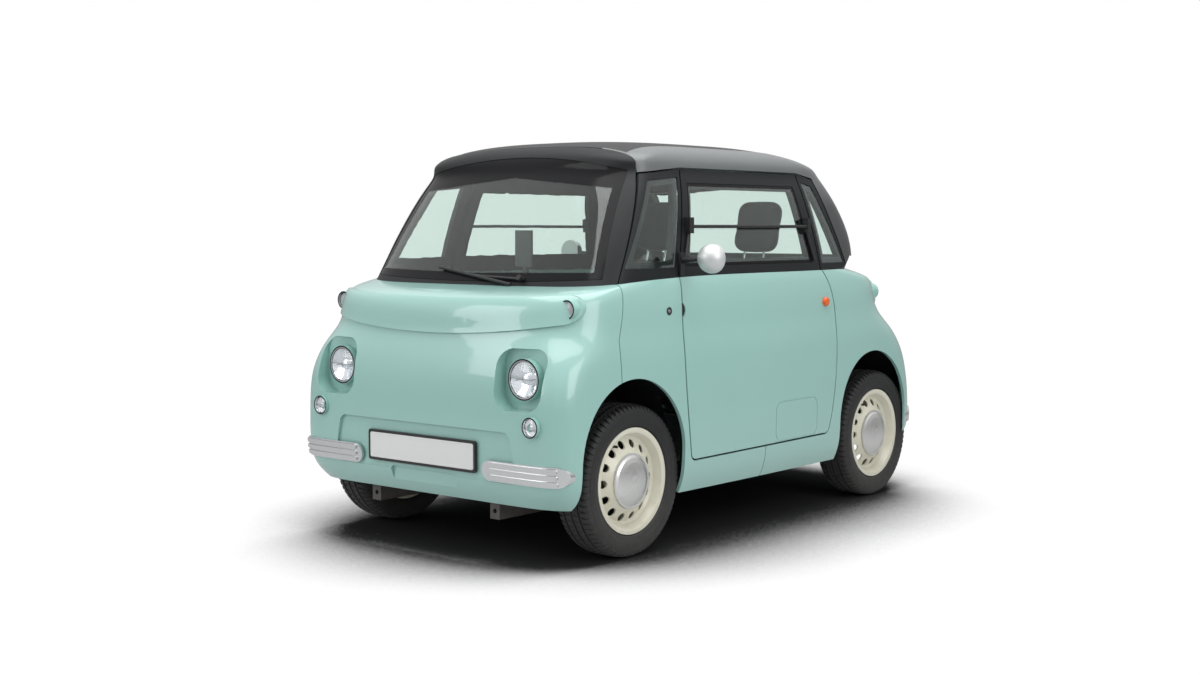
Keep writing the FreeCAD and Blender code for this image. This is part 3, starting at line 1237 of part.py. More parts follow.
def dashboard():
    """Dashboard with the steering column and a phone holder."""
    front = FRONT_AXLE - 74
    board = prism([(front, 790), ("via", front + 4, 890), (front + 30, 935), (front + 190, 948),
                   ("via", front + 282, 925), (front + 304, 860), (front + 290, 740),
                    (front + 120, HOUSE_TOP + 36 + SEAT),
                   (front + 40, HOUSE_TOP + 36 + SEAT)], "x", -560, 560)
    centre, axis = STEERING_CENTRE, STEERING_AXIS
    column = Part.makeCylinder(24, 238, centre - axis * 60 - axis * 238, axis)
    bracket = box(centre.x - 22, centre.x + 22, front + 262, front + 346, HOUSE_TOP + 5, 850)
    bore = Part.makeCylinder(size("column_shaft_radius") + BORE_GAP, 130, centre - axis * 189, axis)
    holder = fused([box(52, 68, front + 150, front + 166, 930, 1070),
                    box(18, 102, front + 144, front + 154, 1040, 1180)])
    return fused([board, bracket, column, holder]).cut(bore)


COLUMN_LEAN = math.radians(size("column_lean"))
STEERING_AXIS = Vector(0, math.cos(COLUMN_LEAN), math.sin(COLUMN_LEAN))
STEERING_CENTRE = Vector(size("seat_track_half") + 10, size("steering_wheel_place"),
                         size("steering_wheel_height"))
keep("dashboard", dashboard())

rim = driven("Torus", "steering_rim", Radius1="Sizes.steering_wheel_radius-Sizes.steering_tube_radius",
             Radius2="Sizes.steering_tube_radius")
hub = driven("Cylinder", "steering_hub", Radius="38", Height="44", Atz="-44")
shaft = driven("Cylinder", "steering_shaft", Radius="Sizes.column_shaft_radius", Height="160", Atz="-180")
spoke = driven("Box", "steering_spoke", Length="2*Sizes.steering_wheel_radius-Sizes.steering_tube_radius*2",
               Width="34", Height="12", Aty="-17",
               Atx="Sizes.steering_tube_radius-Sizes.steering_wheel_radius",
               Atz="-14")
low_spoke = driven("Box", "steering_low_spoke", Length="30", Height="12", Atx="-15", Atz="-14",
                   Width="Sizes.steering_wheel_radius-Sizes.steering_tube_radius",
                   Aty="Sizes.steering_tube_radius-Sizes.steering_wheel_radius")
joined("steering_wheel", [rim, hub, shaft, spoke, low_spoke]).Placement = Placement(
    STEERING_CENTRE, Rotation(Vector(0, 0, 1), STEERING_AXIS))


def rounded_box(x0, x1, y0, y1, z0, z1, radius):
    """A block with all its edges rounded."""
    block = box(x0, x1, y0, y1, z0, z1)
    return block.makeFillet(radius, block.Edges)


def seat(x):
    """One seat: pedestal, cushion, leaning backrest and headrest."""
    half, low = size("seat_width") / 2, size("seat_base_height")
    front = size("seat_front")
    cushion = rounded_box(x - half, x + half, front, front + size("seat_length"), low,
                          low + size("cushion_height"), 40)
    pedestal = box(x - half + 30, x + half - 30, front + 60, front + size("seat_length") - 20,
                   FLOOR_TOP + size("battery_height") + 2 * SEAT, low + 20)
    tall, thick = size("backrest_height"), size("backrest_thick")
    back = rounded_box(x - half, x + half, 0, thick, 0, tall, 40)
    wide = size("headrest_width") / 2
    head = rounded_box(x - wide, x + wide, 8, thick - 8, tall + 20, tall + 20 + size("headrest_height"), 36)
    stem = box(x - 60, x + 60, thick / 2 - 8, thick / 2 + 8, tall - 60, tall + 80)
    upright = fused([back, head, stem])
    upright.Placement = Placement(Vector(0, front + size("seat_length") - 110, low + 40),
                                  Rotation(Vector(1, 0, 0), -size("backrest_lean")))
    return fused([cushion, pedestal, upright])


keep("seats", Part.makeCompound([seat(size("seat_track_half")), seat(-size("seat_track_half"))]))


# Lamps, bumper blades and wiper

def ring_lamp(x, z, radius, lens_radius, back, front, tool):
    """Bezel and lens of a round lamp that looks along Y, its back trimmed to what it stands on."""
    whole = cylinder(radius, (x, back, z), (x, front, z))
    inner = cylinder(lens_radius + 1, (x, back, z), (x, front, z))
    lens = cylinder(lens_radius, (x, back, z), (x, front + (back - front) * 0.12, z))
    if tool:
        return whole.cut(inner).cut(tool), lens.cut(tool)
    return whole.cut(inner), lens


def lamps(patch):
    """Bezels and lenses of the lamps at one end of the car."""
    sign, pocket = (-1, "lamp_pocket_depth") if patch is FRONT_PATCH else (1, "tail_pocket_depth")
    bezels, lenses = [], []
    behind_skin = body_slab(patch, -SEAT, 70)
    behind_band = body_slab(patch, -size("nose_panel_stand") - SEAT, 70)
    for side in (-1, 1):
        x, z = size("head_lamp_half_track"), size("head_lamp_height")
        floor = skin_y(x, z, body_rings, patch) - sign * (size(pocket) - SEAT)
        face = floor + sign * 26
        radius = size("head_lamp_radius")
        bezel, lens = ring_lamp(side * x, z, radius, radius - 12, floor, face, None)
        bezels.append(bezel)
        lenses.append(lens)
        for which, tool, out in (("low", behind_skin, 12), ("high", behind_band, 10)):
            x, z = size(which + "_lamp_half_track"), size(which + "_lamp_height")
            face = skin_y(x, z, body_rings, patch) + sign * out
            radius = size(which + "_lamp_radius")
            bezel, lens = ring_lamp(side * x, z, radius, radius - 7,
                                    face - sign * 60, face, tool)
            bezels.append(bezel)
            lenses.append(lens)
    return Part.makeCompound(bezels), Part.makeCompound(lenses)


def blades(patch):
    """Two bumper blades with three ribs each, wrapped round the corners of one end."""
    middle, half = size("blade_height"), size("blade_depth") / 2
    low, high = (-OUT, 0) if patch is FRONT_PATCH else (0, OUT)
    inner, outer = size("blade_inner"), size("blade_outer")
    outline = front_outline([(inner + half, middle - half), (outer - half, middle - half),
                             ("via", outer, middle), (outer - half, middle + half),
                             (inner + half, middle + half), ("via", inner, middle)])
    base = body_slab(patch, -size("blade_stand") + 6, -SEAT).common(flat_prism(outline, "y", low, high))
    ribs = []
    for step in (-1, 0, 1):
        z = middle + step * half * 0.62
        rib = front_outline([(inner + half, z - 8), (outer - half, z - 8), ("via", outer - half + 8, z),
                             (outer - half, z + 8), (inner + half, z + 8), ("via", inner + half - 8, z)])
        ribs.append(flat_prism(rib, "y", low, high))
    rib_slab = body_slab(patch, -size("blade_stand"), -size("blade_stand") + 7)
    ribs = rib_slab.common(Part.makeCompound(ribs))
    return both_sides(fused([base, ribs]))


front_bezels, front_lenses = lamps(FRONT_PATCH)
rear_bezels, rear_lenses = lamps(REAR_PATCH)
keep("lamp_bezels", Part.makeCompound([front_bezels, rear_bezels]))
keep("head_lamp_lenses", front_lenses)
keep("tail_lamp_lenses", rear_lenses)
keep("bumper_blades", Part.makeCompound([blades(FRONT_PATCH), blades(REAR_PATCH)]))


def wiper():
    """Wiper on its spindle, lying across the foot of the windscreen."""
    places = ((265, 1004), (30, 1012), (-170, 1040))
    spots = [Vector(x, skin_y(x, z, cabin_rings, FRONT_PATCH) - 12, z) for x, z in places]
    pivot = Part.makeCylinder(11, 40, spots[0] + Vector(0, 24, -9), Vector(0, -0.9, 0.4))
    arm = cylinder(5, spots[0], spots[1])
    blade = cylinder(6, spots[1] + (spots[1] - spots[2]), spots[2])
    return fused([pivot, arm, blade]).cut(cabin_slab(FRONT_PATCH, -SEAT, 70))


keep("wiper", wiper())


doc.recompute()
os.makedirs("parts", exist_ok=True)
for name, piece in nodes.items():
    shape = piece.Shape
    if "Invalid" in piece.State or "Error" in piece.State or shape.isNull() or not shape.isValid():
        raise RuntimeError(name + " is not a sound piece")
    shape.exportStep(os.path.join("parts", name + ".step"))
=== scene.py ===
import math

import bmesh
import bpy
from mathutils import Matrix, Vector


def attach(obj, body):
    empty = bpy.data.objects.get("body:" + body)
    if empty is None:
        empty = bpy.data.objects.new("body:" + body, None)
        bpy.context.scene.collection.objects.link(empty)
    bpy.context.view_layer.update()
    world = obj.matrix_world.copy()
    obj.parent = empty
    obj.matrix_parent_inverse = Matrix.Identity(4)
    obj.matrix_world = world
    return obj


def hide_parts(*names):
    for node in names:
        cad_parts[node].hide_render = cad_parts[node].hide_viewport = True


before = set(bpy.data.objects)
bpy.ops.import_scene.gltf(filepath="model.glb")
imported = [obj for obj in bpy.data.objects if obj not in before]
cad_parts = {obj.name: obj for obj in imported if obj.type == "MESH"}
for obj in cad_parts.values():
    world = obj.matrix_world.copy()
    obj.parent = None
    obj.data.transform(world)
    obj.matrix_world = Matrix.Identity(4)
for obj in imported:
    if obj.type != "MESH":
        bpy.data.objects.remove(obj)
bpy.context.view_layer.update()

# Camera: a short telephoto at chest height, off the car's front left corner.
# It is turned to the right round the car, dips a little and stands level.
turn, dip = math.radians(39.753), math.radians(4.052)
look = Vector((-math.sin(turn) * math.cos(dip), math.cos(turn) * math.cos(dip), -math.sin(dip)))
right = Vector((math.cos(turn), math.sin(turn), 0))
camera_data = bpy.data.cameras.new("camera")
camera_data.sensor_width = 36
camera_data.lens = 46.65
camera = bpy.data.objects.new("camera", camera_data)
camera.matrix_world = Matrix((right, right.cross(look), -look)).transposed().to_4x4()
camera.matrix_world.translation = (4.1244, -5.1824, 1.1925)
bpy.context.scene.collection.objects.link(camera)
bpy.context.scene.camera = camera
bpy.context.scene.view_settings.view_transform = "Standard"


# Studio: a white room. It lights the car softly and looks white to the camera and through the glass.
# Shiny parts see a bright ceiling over darker walls. Three softboxes hang round the car.
def feed(tree, socket, value):
    """Link an output to a socket, or set the socket's own constant."""
    if isinstance(value, bpy.types.NodeSocket):
        tree.links.new(value, socket)
    else:
        socket.default_value = value


def ramp(tree, value, start, end, low=0.0, high=1.0):
    """A value that goes from low to high while the given one goes from start to end."""
    node = tree.nodes.new("ShaderNodeMapRange")
    for label, amount in zip(("Value", "From Min", "From Max", "To Min", "To Max"),
                             (value, start, end, low, high)):
        feed(tree, node.inputs[label], amount)
    return node.outputs["Result"]


def calculate(tree, operation, *terms):
    """One step of arithmetic on outputs and constants."""
    node = tree.nodes.new("ShaderNodeMath")
    node.operation = operation
    for socket, term in zip(node.inputs, terms):
        feed(tree, socket, term)
    return node.outputs[0]


def mix_shaders(tree, share, first, second):
    """The second shader where the share is 1, else the first."""
    node = tree.nodes.new("ShaderNodeMixShader")
    for socket, source in zip(node.inputs, (share, first, second)):
        feed(tree, socket, source)
    return node.outputs[0]


def background(tree, colour, strength):
    """Plain light from all round."""
    node = tree.nodes.new("ShaderNodeBackground")
    feed(tree, node.inputs["Color"], (*colour, 1))
    feed(tree, node.inputs["Strength"], strength)
    return node.outputs[0]


def place_on(tree, kind="Object"):
    """Places in the object's own space, or another output of the coordinates node."""
    return tree.nodes.new("ShaderNodeTexCoord").outputs[kind]


def parted(tree, place):
    """X, Y and Z of a place."""
    node = tree.nodes.new("ShaderNodeSeparateXYZ")
    tree.links.new(place, node.inputs[0])
    return node.outputs


world = bpy.data.worlds.new("studio")
bpy.context.scene.world = world
world.use_nodes = True
tree = world.node_tree
tree.nodes.clear()
seen = tree.nodes.new("ShaderNodeLightPath")
wall_foot, ceiling_edge = -0.12, 0.55
wall_light, ceiling_light, soft_light = 0.16, 0.95, 0.62
up_the_room = parted(tree, place_on(tree, "Generated"))["Z"]
shine = ramp(tree, up_the_room, wall_foot, ceiling_edge, wall_light, ceiling_light)
lit_room = mix_shaders(tree, seen.outputs["Is Glossy Ray"],
                       background(tree, (0.97, 0.985, 1.0), soft_light), background(tree, (1, 1, 1), shine))
looks_white = calculate(tree, "MAXIMUM", seen.outputs["Is Camera Ray"], seen.outputs["Is Transmission Ray"])
whole_room = mix_shaders(tree, looks_white, lit_room, background(tree, (1, 1, 1), 1.0))
tree.links.new(whole_room, tree.nodes.new("ShaderNodeOutputWorld").inputs["Surface"])

for name, place, target, wide, watts in (
        ("ceiling_softbox", (0.6, -0.6, 4.4), (0, 0, 0.6), 4.2, 150),
        ("left_softbox", (4.6, -1.2, 2.5), (0, 0, 0.7), 2.6, 55),
        ("front_softbox", (-2.2, -5.2, 2.6), (0, -0.6, 0.7), 2.6, 60)):
    light = bpy.data.lights.new(name, "AREA")
    light.shape = "SQUARE"
    light.size = wide
    light.energy = watts
    lamp = bpy.data.objects.new(name, light)
    lamp.location = place
    lamp.rotation_euler = (Vector(target) - Vector(place)).to_track_quat("-Z", "Y").to_euler()
    bpy.context.scene.collection.objects.link(lamp)

# Floor: a pale studio floor, one sheet under everything.
# To the camera it glows white where it is open to the room and goes black under the car, as a painted
# shadow.
floor_mesh = bpy.data.meshes.new("studio_floor")
floor_reach, floor_top = 30, -0.001
floor_mesh.from_pydata([(x * floor_reach, y * floor_reach, floor_top)
                        for x, y in ((-1, -1), (1, -1), (1, 1), (-1, 1))], [], [(0, 1, 2, 3)])
floor = bpy.data.objects.new("studio_floor", floor_mesh)
bpy.context.scene.collection.objects.link(floor)
floor_paint = bpy.data.materials.new("studio_floor")
floor_paint.use_nodes = True
tree = floor_paint.node_tree
tree.nodes.clear()
matt = tree.nodes.new("ShaderNodeBsdfDiffuse")
matt.inputs["Color"].default_value = (0.55, 0.55, 0.55, 1)
# Painted shadow: how open each spot is to the room sets the camera's white glow, which fades to a near-black
# matt under the car.
openness_for_painted_shadow = tree.nodes.new("ShaderNodeAmbientOcclusion")
openness_for_painted_shadow.inputs["Distance"].default_value = 1.1
openness_for_painted_shadow.samples = 16
painted_shadow_darkest, painted_shadow_gone = 0.57, 0.85
glow_round_painted_shadow = tree.nodes.new("ShaderNodeEmission")
tree.links.new(ramp(tree, openness_for_painted_shadow.outputs["AO"], painted_shadow_darkest, painted_shadow_gone), glow_round_painted_shadow.inputs["Strength"])
painted_shadow_matt = tree.nodes.new("ShaderNodeBsdfDiffuse")
painted_shadow_matt.inputs["Color"].default_value = (0.03, 0.03, 0.03, 1)
floor_with_painted_shadow = tree.nodes.new("ShaderNodeAddShader")
tree.links.new(painted_shadow_matt.outputs[0], floor_with_painted_shadow.inputs[0])
tree.links.new(glow_round_painted_shadow.outputs[0], floor_with_painted_shadow.inputs[1])
seen = tree.nodes.new("ShaderNodeLightPath")
whole_floor = mix_shaders(tree, seen.outputs["Is Camera Ray"], matt.outputs[0], floor_with_painted_shadow.outputs[0])
tree.links.new(whole_floor, tree.nodes.new("ShaderNodeOutputMaterial").inputs["Surface"])
floor_mesh.materials.append(floor_paint)


# Shared effect, as a node group: the fine surface of a moulded, cast or painted part, with large soft
# mottling over it and specks of road dust near the ground.
def effect_group(name, inputs, outputs):
    """An empty shader group with its sockets."""
    group = bpy.data.node_groups.new(name, "ShaderNodeTree")
    for label, kind, value in inputs:
        socket = group.interface.new_socket(label, in_out="INPUT", socket_type=kind)
        socket.default_value = value
    for label, kind in outputs:
        group.interface.new_socket(label, in_out="OUTPUT", socket_type=kind)
    return group, group.nodes.new("NodeGroupInput"), group.nodes.new("NodeGroupOutput")


def noise(tree, place, scale, detail, roughness=0.5):
    """Soft noise over the object."""
    node = tree.nodes.new("ShaderNodeTexNoise")
    for label, value in (("Vector", place), ("Scale", scale), ("Detail", detail), ("Roughness", roughness)):
        feed(tree, node.inputs[label], value)
    return node.outputs["Fac"]


def bumped(tree, height, strength, distance):
    """A normal that follows a height."""
    node = tree.nodes.new("ShaderNodeBump")
    for label, value in (("Height", height), ("Strength", strength), ("Distance", distance)):
        feed(tree, node.inputs[label], value)
    return node.outputs["Normal"]


skin, given, result = effect_group(
    "moulded_skin",
    (("Scale", "NodeSocketFloat", 300.0), ("Depth", "NodeSocketFloat", 0.1)),
    (("Mottle", "NodeSocketFloat"), ("Dust", "NodeSocketFloat"), ("Normal", "NodeSocketVector")))
place = place_on(skin)
peel_height = 0.0008
mottle_scale, speck_scale = 2.3, 38
dust_top, dust_foot = 0.44, 0.16
peel = noise(skin, place, given.outputs["Scale"], 3)
skin.links.new(bumped(skin, peel, given.outputs["Depth"], peel_height), result.inputs["Normal"])
skin.links.new(noise(skin, place, mottle_scale, 4), result.inputs["Mottle"])
low_down = ramp(skin, parted(skin, place)["Z"], dust_top, dust_foot)
dust = calculate(skin, "MULTIPLY", low_down, noise(skin, place, speck_scale, 8, 0.7))
skin.links.new(dust, result.inputs["Dust"])


def blend(tree, mask, under, over):
    """One colour under, another over it where the mask is 1."""
    node = tree.nodes.new("ShaderNodeMix")
    node.data_type = "RGBA"
    for label, value in (("Factor", mask), ("A", under), ("B", over)):
        feed(tree, node.inputs[label], value)
    return node.outputs["Result"]


def skin_material(name, colour, dusty, roughness, scale, depth, mottle, dust_amount, **sockets):
    """A Principled material with a moulded or cast surface, soft mottling and road dust low down."""
    material = bpy.data.materials.new(name)
    material.use_nodes = True
    tree = material.node_tree
    shader = tree.nodes["Principled BSDF"]
    group = tree.nodes.new("ShaderNodeGroup")
    group.node_tree = skin
    group.inputs["Scale"].default_value = scale
    group.inputs["Depth"].default_value = depth
    shade = blend(tree, group.outputs["Mottle"], (*colour, 1), (*(c * (1 - mottle) for c in colour), 1))
    amount = calculate(tree, "MULTIPLY", group.outputs["Dust"], dust_amount)
    tree.links.new(blend(tree, amount, shade, (*dusty, 1)), shader.inputs["Base Color"])
    tree.links.new(ramp(tree, group.outputs["Mottle"], 0, 1, roughness - 0.03, roughness + 0.05),
                   shader.inputs["Roughness"])
    tree.links.new(group.outputs["Normal"], shader.inputs["Normal"])
    for socket, value in sockets.items():
        shader.inputs[socket.replace("_", " ")].default_value = value
    return material


# Body panels and doors: moulded plastic coloured right through, with a clear glossy skin, clipped
# and screwed to the frame.
def dress(material, *names):
    """Give carried-over CAD nodes their finish."""
    for name in names:
        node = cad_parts[name]
        node.data.materials.clear()
        node.data.materials.append(material)


mint = skin_material("mint_gloss", (0.302, 0.532, 0.484), (0.36, 0.42, 0.38), 0.30, 420, 0.06, 0.05, 0.22,
                     Coat_Weight=0.85, Coat_Roughness=0.04, Specular_IOR_Level=0.5)
dress(mint, "front_fascia", "rear_fascia", "front_side_panels", "rear_side_panels", "left_door_shell",
      "right_door_shell", "nose_panel", "tail_panel")


# Upper frame: dark grey moulded rails, pillars and window frames with a fine matt grain, bolted to the
# steel hoops. The roof rail is the same plastic, satin and lined in black inside; painted shade darkens its
# outer face lower down.
def finish_colour(material):
    """A material's tree and shader, and the output that colours it so far."""
    shader = material.node_tree.nodes["Principled BSDF"]
    return material.node_tree, shader, shader.inputs["Base Color"].links[0].from_socket


rail_black, rail_painted_shade = (0.010, 0.012, 0.013), (0.040, 0.043, 0.044)
rails = skin_material("grained_rail", rail_black, (0.10, 0.10, 0.10), 0.42, 900, 0.35, 0.2, 0.1,
                      Specular_IOR_Level=0.26)
dress(rails, "windscreen_surround", "side_frames", "left_window_frame", "right_window_frame")
roof_rail = skin_material("satin_roof_rail", (0.16, 0.17, 0.172), (0.10, 0.10, 0.10), 0.36, 900, 0.25, 0.15,
                          0.1, Coat_Weight=0.2, Coat_Roughness=0.3)
tree, shader, grey = finish_colour(roof_rail)
dome_centre = (0, 0, 1.0)
lining_facing, outer_facing = 0.05, 0.12
foot_height, top_height = 1.28, 1.46
place = place_on(tree)
outwards = tree.nodes.new("ShaderNodeVectorMath")
outwards.operation = "SUBTRACT"
outwards.inputs[1].default_value = dome_centre
tree.links.new(place, outwards.inputs[0])
facing = tree.nodes.new("ShaderNodeVectorMath")
facing.operation = "DOT_PRODUCT"
tree.links.new(outwards.outputs["Vector"], facing.inputs[0])
tree.links.new(place_on(tree, "Normal"), facing.inputs[1])
outside = ramp(tree, facing.outputs["Value"], lining_facing, outer_facing)
# Painted shade: the rail's outer face goes darker lower down the pillars and stays lighter on top, where the
# ceiling light falls.
high = ramp(tree, parted(tree, place)["Z"], foot_height, top_height)
outer_colour = blend(tree, high, (*rail_painted_shade, 1), grey)
tree.links.new(blend(tree, outside, (*rail_black, 1), outer_colour), shader.inputs["Base Color"])
dress(roof_rail, "roof_shell")

# Roof panel: a dark sheet with a fine woven grain.
# It is bonded on a ledge in the roof rail.
roof_dark = skin_material("roof_sheet", (0.014, 0.015, 0.016), (0.10, 0.10, 0.10), 0.50, 1500, 0.6, 0.3,
                          0.1)
dress(roof_dark, "roof_panel")

# Black parts: grained plastic wheel houses, dashboard, wiper, steering wheel and window rails.
# Each is moulded in one colour and clipped or screwed in place.
plain_black = (0.012, 0.012, 0.013)
black = skin_material("black_plastic", plain_black, (0.11, 0.10, 0.09), 0.48, 1200, 0.4, 0.3, 0.5)
dress(black, "left_window_rail", "right_window_rail", "wheel_houses", "wiper", "steering_wheel")
dash = skin_material("dashboard_plastic", (0.035, 0.036, 0.038), (0.1, 0.1, 0.1), 0.55, 1400, 0.5, 0.3, 0.1)
dress(dash, "dashboard")

# Frame and running gear: welded steel tube with a black powder coat, a motor in a bare cast case,
# a painted steel battery case and a ribbed floor liner. All is bolted to the frame.
steel = skin_material("powder_coat", (0.020, 0.020, 0.021), (0.16, 0.14, 0.12), 0.45, 700, 0.5, 0.3, 0.7)
dress(steel, "chassis_frame", "body_frame", "front_suspension", "rear_axle", "left_knuckle",
      "right_knuckle")
cast = skin_material("cast_case", (0.36, 0.36, 0.37), (0.20, 0.18, 0.16), 0.5, 260, 0.6, 0.3, 0.6,
                     Metallic=0.9)
dress(cast, "drive_unit")
case = skin_material("battery_case", (0.09, 0.10, 0.11), (0.16, 0.14, 0.12), 0.42, 500, 0.25, 0.2, 0.5,
                     Metallic=0.5)
dress(case, "battery_pack")
mat = skin_material("floor_liner", (0.045, 0.045, 0.048), (0.12, 0.11, 0.10), 0.7, 1600, 0.8, 0.3, 0.4)
dress(mat, "floor_pan")

# Bumper blades: ribbed plastic strips with a silver metallic paint.
# Two sit on each end of the car, screwed on from behind.
silver = skin_material("silver_paint", (0.70, 0.71, 0.72), (0.40, 0.39, 0.36), 0.22, 2600, 0.08, 0.08, 0.3,
                       Metallic=1.0, Coat_Weight=0.2, Coat_Roughness=0.1)
dress(silver, "bumper_blades")

# Door mirrors: a round silver-painted shell on a black arm, screwed to a bracket on the window frame.
# The two finishes meet at the shell's foot.
shell_foot, shell_metallic = 0.733, 0.55
mirror_paint = skin_material("mirror_silver_and_black", (0.66, 0.67, 0.67), (0.40, 0.39, 0.36), 0.42, 2600,
                             0.12, 0.06, 0.1)
tree, shader, silver_colour = finish_colour(mirror_paint)
reach = calculate(tree, "ABSOLUTE", parted(tree, place_on(tree))["X"])
shell_side = calculate(tree, "GREATER_THAN", reach, shell_foot)
tree.links.new(blend(tree, shell_side, (*plain_black, 1), silver_colour), shader.inputs["Base Color"])
tree.links.new(calculate(tree, "MULTIPLY", shell_side, shell_metallic), shader.inputs["Metallic"])
dress(mirror_paint, "left_mirror", "right_mirror")


# Windows: 5 mm toughened glass, faintly green, with a printed black border. The border is measured
# from the pane's own edges, so it keeps its width all round.
def glass_material(name, across, lines, border):
    """Pane whose border lies along straight edges; each edge is (nu, nv, distance) across and up."""
    material = bpy.data.materials.new(name)
    material.use_nodes = True
    tree = material.node_tree
    shader = tree.nodes["Principled BSDF"]
    shader.inputs["Base Color"].default_value = (0.80, 0.90, 0.86, 1)
    shader.inputs["Roughness"].default_value = 0.0
    shader.inputs["IOR"].default_value = 1.45
    shader.inputs["Specular IOR Level"].default_value = 0.10
    shader.inputs["Transmission Weight"].default_value = 1.0
    axes = parted(tree, place_on(tree))
    reach = calculate(tree, "ABSOLUTE", axes["X"]) if across == "X" else axes[across]
    nearest = None
    for nu, nv, distance in lines:
        level = calculate(tree, "MULTIPLY_ADD", reach, nu, -distance)
        beyond = calculate(tree, "MULTIPLY_ADD", axes["Z"], nv, level)
        nearest = calculate(tree, "MAXIMUM", nearest, beyond) if nearest else beyond
    blur = 0.001
    printed = ramp(tree, nearest, -border - blur, -border + blur)
    ink = tree.nodes.new("ShaderNodeBsdfPrincipled")
    ink.inputs["Base Color"].default_value = (0.010, 0.010, 0.011, 1)
    ink.inputs["Roughness"].default_value = 0.12
    ink.inputs["Specular IOR Level"].default_value = 0.12
    clear = tree.nodes.new("ShaderNodeBsdfTransparent")
    clear.inputs["Color"].default_value = (0.86, 0.93, 0.90, 1)
    rays = tree.nodes.new("ShaderNodeLightPath")
    pane = mix_shaders(tree, rays.outputs["Is Shadow Ray"], shader.outputs[0], clear.outputs[0])
    tree.links.new(mix_shaders(tree, printed, pane, ink.outputs[0]),
                   tree.nodes["Material Output"].inputs["Surface"])
    return material


def edge_line(u0, v0, u1, v1):
    """Outward unit normal and distance of the edge from one corner to the next, anticlockwise."""
    length = math.hypot(u1 - u0, v1 - v0)
    nu, nv = (v1 - v0) / length, (u0 - u1) / length
    return nu, nv, nu * u0 + nv * v0


def pane_edges(corners):
    """Edge lines of a pane with its corners listed anticlockwise."""
    return [edge_line(*a, *b) for a, b in zip(corners, corners[1:] + corners[:1])]


windscreen_edges = pane_edges([(-0.1, 0.990), (0.585, 1.000), (0.508, 1.366), (-0.1, 1.424)])
dress(glass_material("windscreen_glass", "X", windscreen_edges, 0.030), "windscreen")
rear_edges = pane_edges([(-0.1, 1.046), (0.52, 1.046), (0.44, 1.372), (-0.1, 1.398)])
dress(glass_material("rear_glass", "X", rear_edges, 0.026), "rear_window")
left_edges = pane_edges([(-0.4835, 1.046), (0.4015, 1.046), (0.3375, 1.362), (-0.4015, 1.362)])
dress(glass_material("left_door_glass", "Y", left_edges, 0.012), "left_door_glass")
right_edges = pane_edges([(-0.4275, 1.046), (0.4575, 1.046), (0.3755, 1.362), (-0.3635, 1.362)])
dress(glass_material("right_door_glass", "Y", right_edges, 0.012), "right_door_glass")
dress(glass_material("quarter_glass", "Y", [(0, 1, 1.40), (0, -1, -1.03)], 0.012), "quarter_windows")


# Tyres: 155/65 R14 road tyres with three main grooves, cross grooves on the shoulders, fine cuts in the
# ribs and moulded rings on the sidewalls. Each is one closed ring of rubber, held by the rim's beads.
def ring_mesh(name, rings, material, closed=True, crease=30):
    """A piece from rings of points, each joined to the next one and the last to the first."""
    count = len(rings[0])
    steps = len(rings) if closed else len(rings) - 1
    faces = []
    for i in range(steps):
        a, b = i * count, (i + 1) % len(rings) * count
        faces += [(a + j, b + j, b + (j + 1) % count, a + (j + 1) % count) for j in range(count)]
    mesh = bpy.data.meshes.new(name)
    mesh.from_pydata([point for ring in rings for point in ring], [], faces)
    work = bmesh.new()
    work.from_mesh(mesh)
    bmesh.ops.remove_doubles(work, verts=work.verts, dist=0.000002)
    bmesh.ops.recalc_face_normals(work, faces=work.faces)
    work.to_mesh(mesh)
    work.free()
    mesh.polygons.foreach_set("use_smooth", [True] * len(mesh.polygons))
    mesh.set_sharp_from_angle(angle=math.radians(crease))
    mesh.materials.append(material)
    piece = bpy.data.objects.new(name, mesh)
    bpy.context.scene.collection.objects.link(piece)
    return piece


track, wheel_height = 0.589, 0.2785
axles = (("front", -0.8275), ("rear", 0.9035))
tread_pitches = 72
cross_groove, fine_cut, groove_sweep = 5.2, 2.6, 0.0009
pitch_marks = ((0.0, 0), (0.62, 0), (0.68, 1), (0.92, 1))  # share of the pitch, and 1 where it is cut
rubber = skin_material("tyre_rubber", (0.017, 0.017, 0.018), (0.10, 0.095, 0.085), 0.58, 900, 0.5, 0.35,
                       0.35, Specular_IOR_Level=0.4)
half_section = [  # in mm across the tyre and in radius, then how deep the cross grooves and fine cuts go
    (0, 272.0, 0, 0), (3.2, 272.0, 0, 0), (4.3, 278.4, 0, 0), (9, 278.4, 0, 0), (10, 278.4, 0, 1),
    (24, 278.4, 0, 1), (25, 278.4, 0, 0), (29.8, 278.4, 0, 0), (30.9, 271.8, 0, 0), (37.1, 271.6, 0, 0),
    (38.2, 278.0, 0, 0), (42, 277.7, 0, 0), (43, 277.6, 1, 0), (52, 276.2, 1, 0), (60, 273.7, 1, 0),
    (66, 270.6, 1, 0), (70.5, 265.6, 0.8, 0), (73.0, 259.5, 0.5, 0), (74.8, 252.0, 0.15, 0),
    (75.5, 248.5, 0, 0), (76.3, 248.0, 0, 0), (76.9, 242, 0, 0), (77.3, 235, 0, 0), (77.2, 228, 0, 0),
    (76.2, 222, 0, 0), (75.4, 221.4, 0, 0), (73.6, 214, 0, 0), (71.2, 208.0, 0, 0), (70.6, 204.0, 0, 0),
    (69.0, 201.0, 0, 0), (65.0, 198.0, 0, 0), (61.2, 196.6, 0, 0), (61.2, 186, 0, 0), (60.6, 178.8, 0, 0)]
inside = [(46, 178.8), (52, 188), (60, 208), (66, 230), (66, 248), (56, 262), (28, 268), (0, 268.6)]
section = [(-a, r, g, c) for a, r, g, c in half_section[:0:-1]] + half_section
section += [(a, r, 0, 0) for a, r in inside] + [(-a, r, 0, 0) for a, r in inside[-2::-1]]
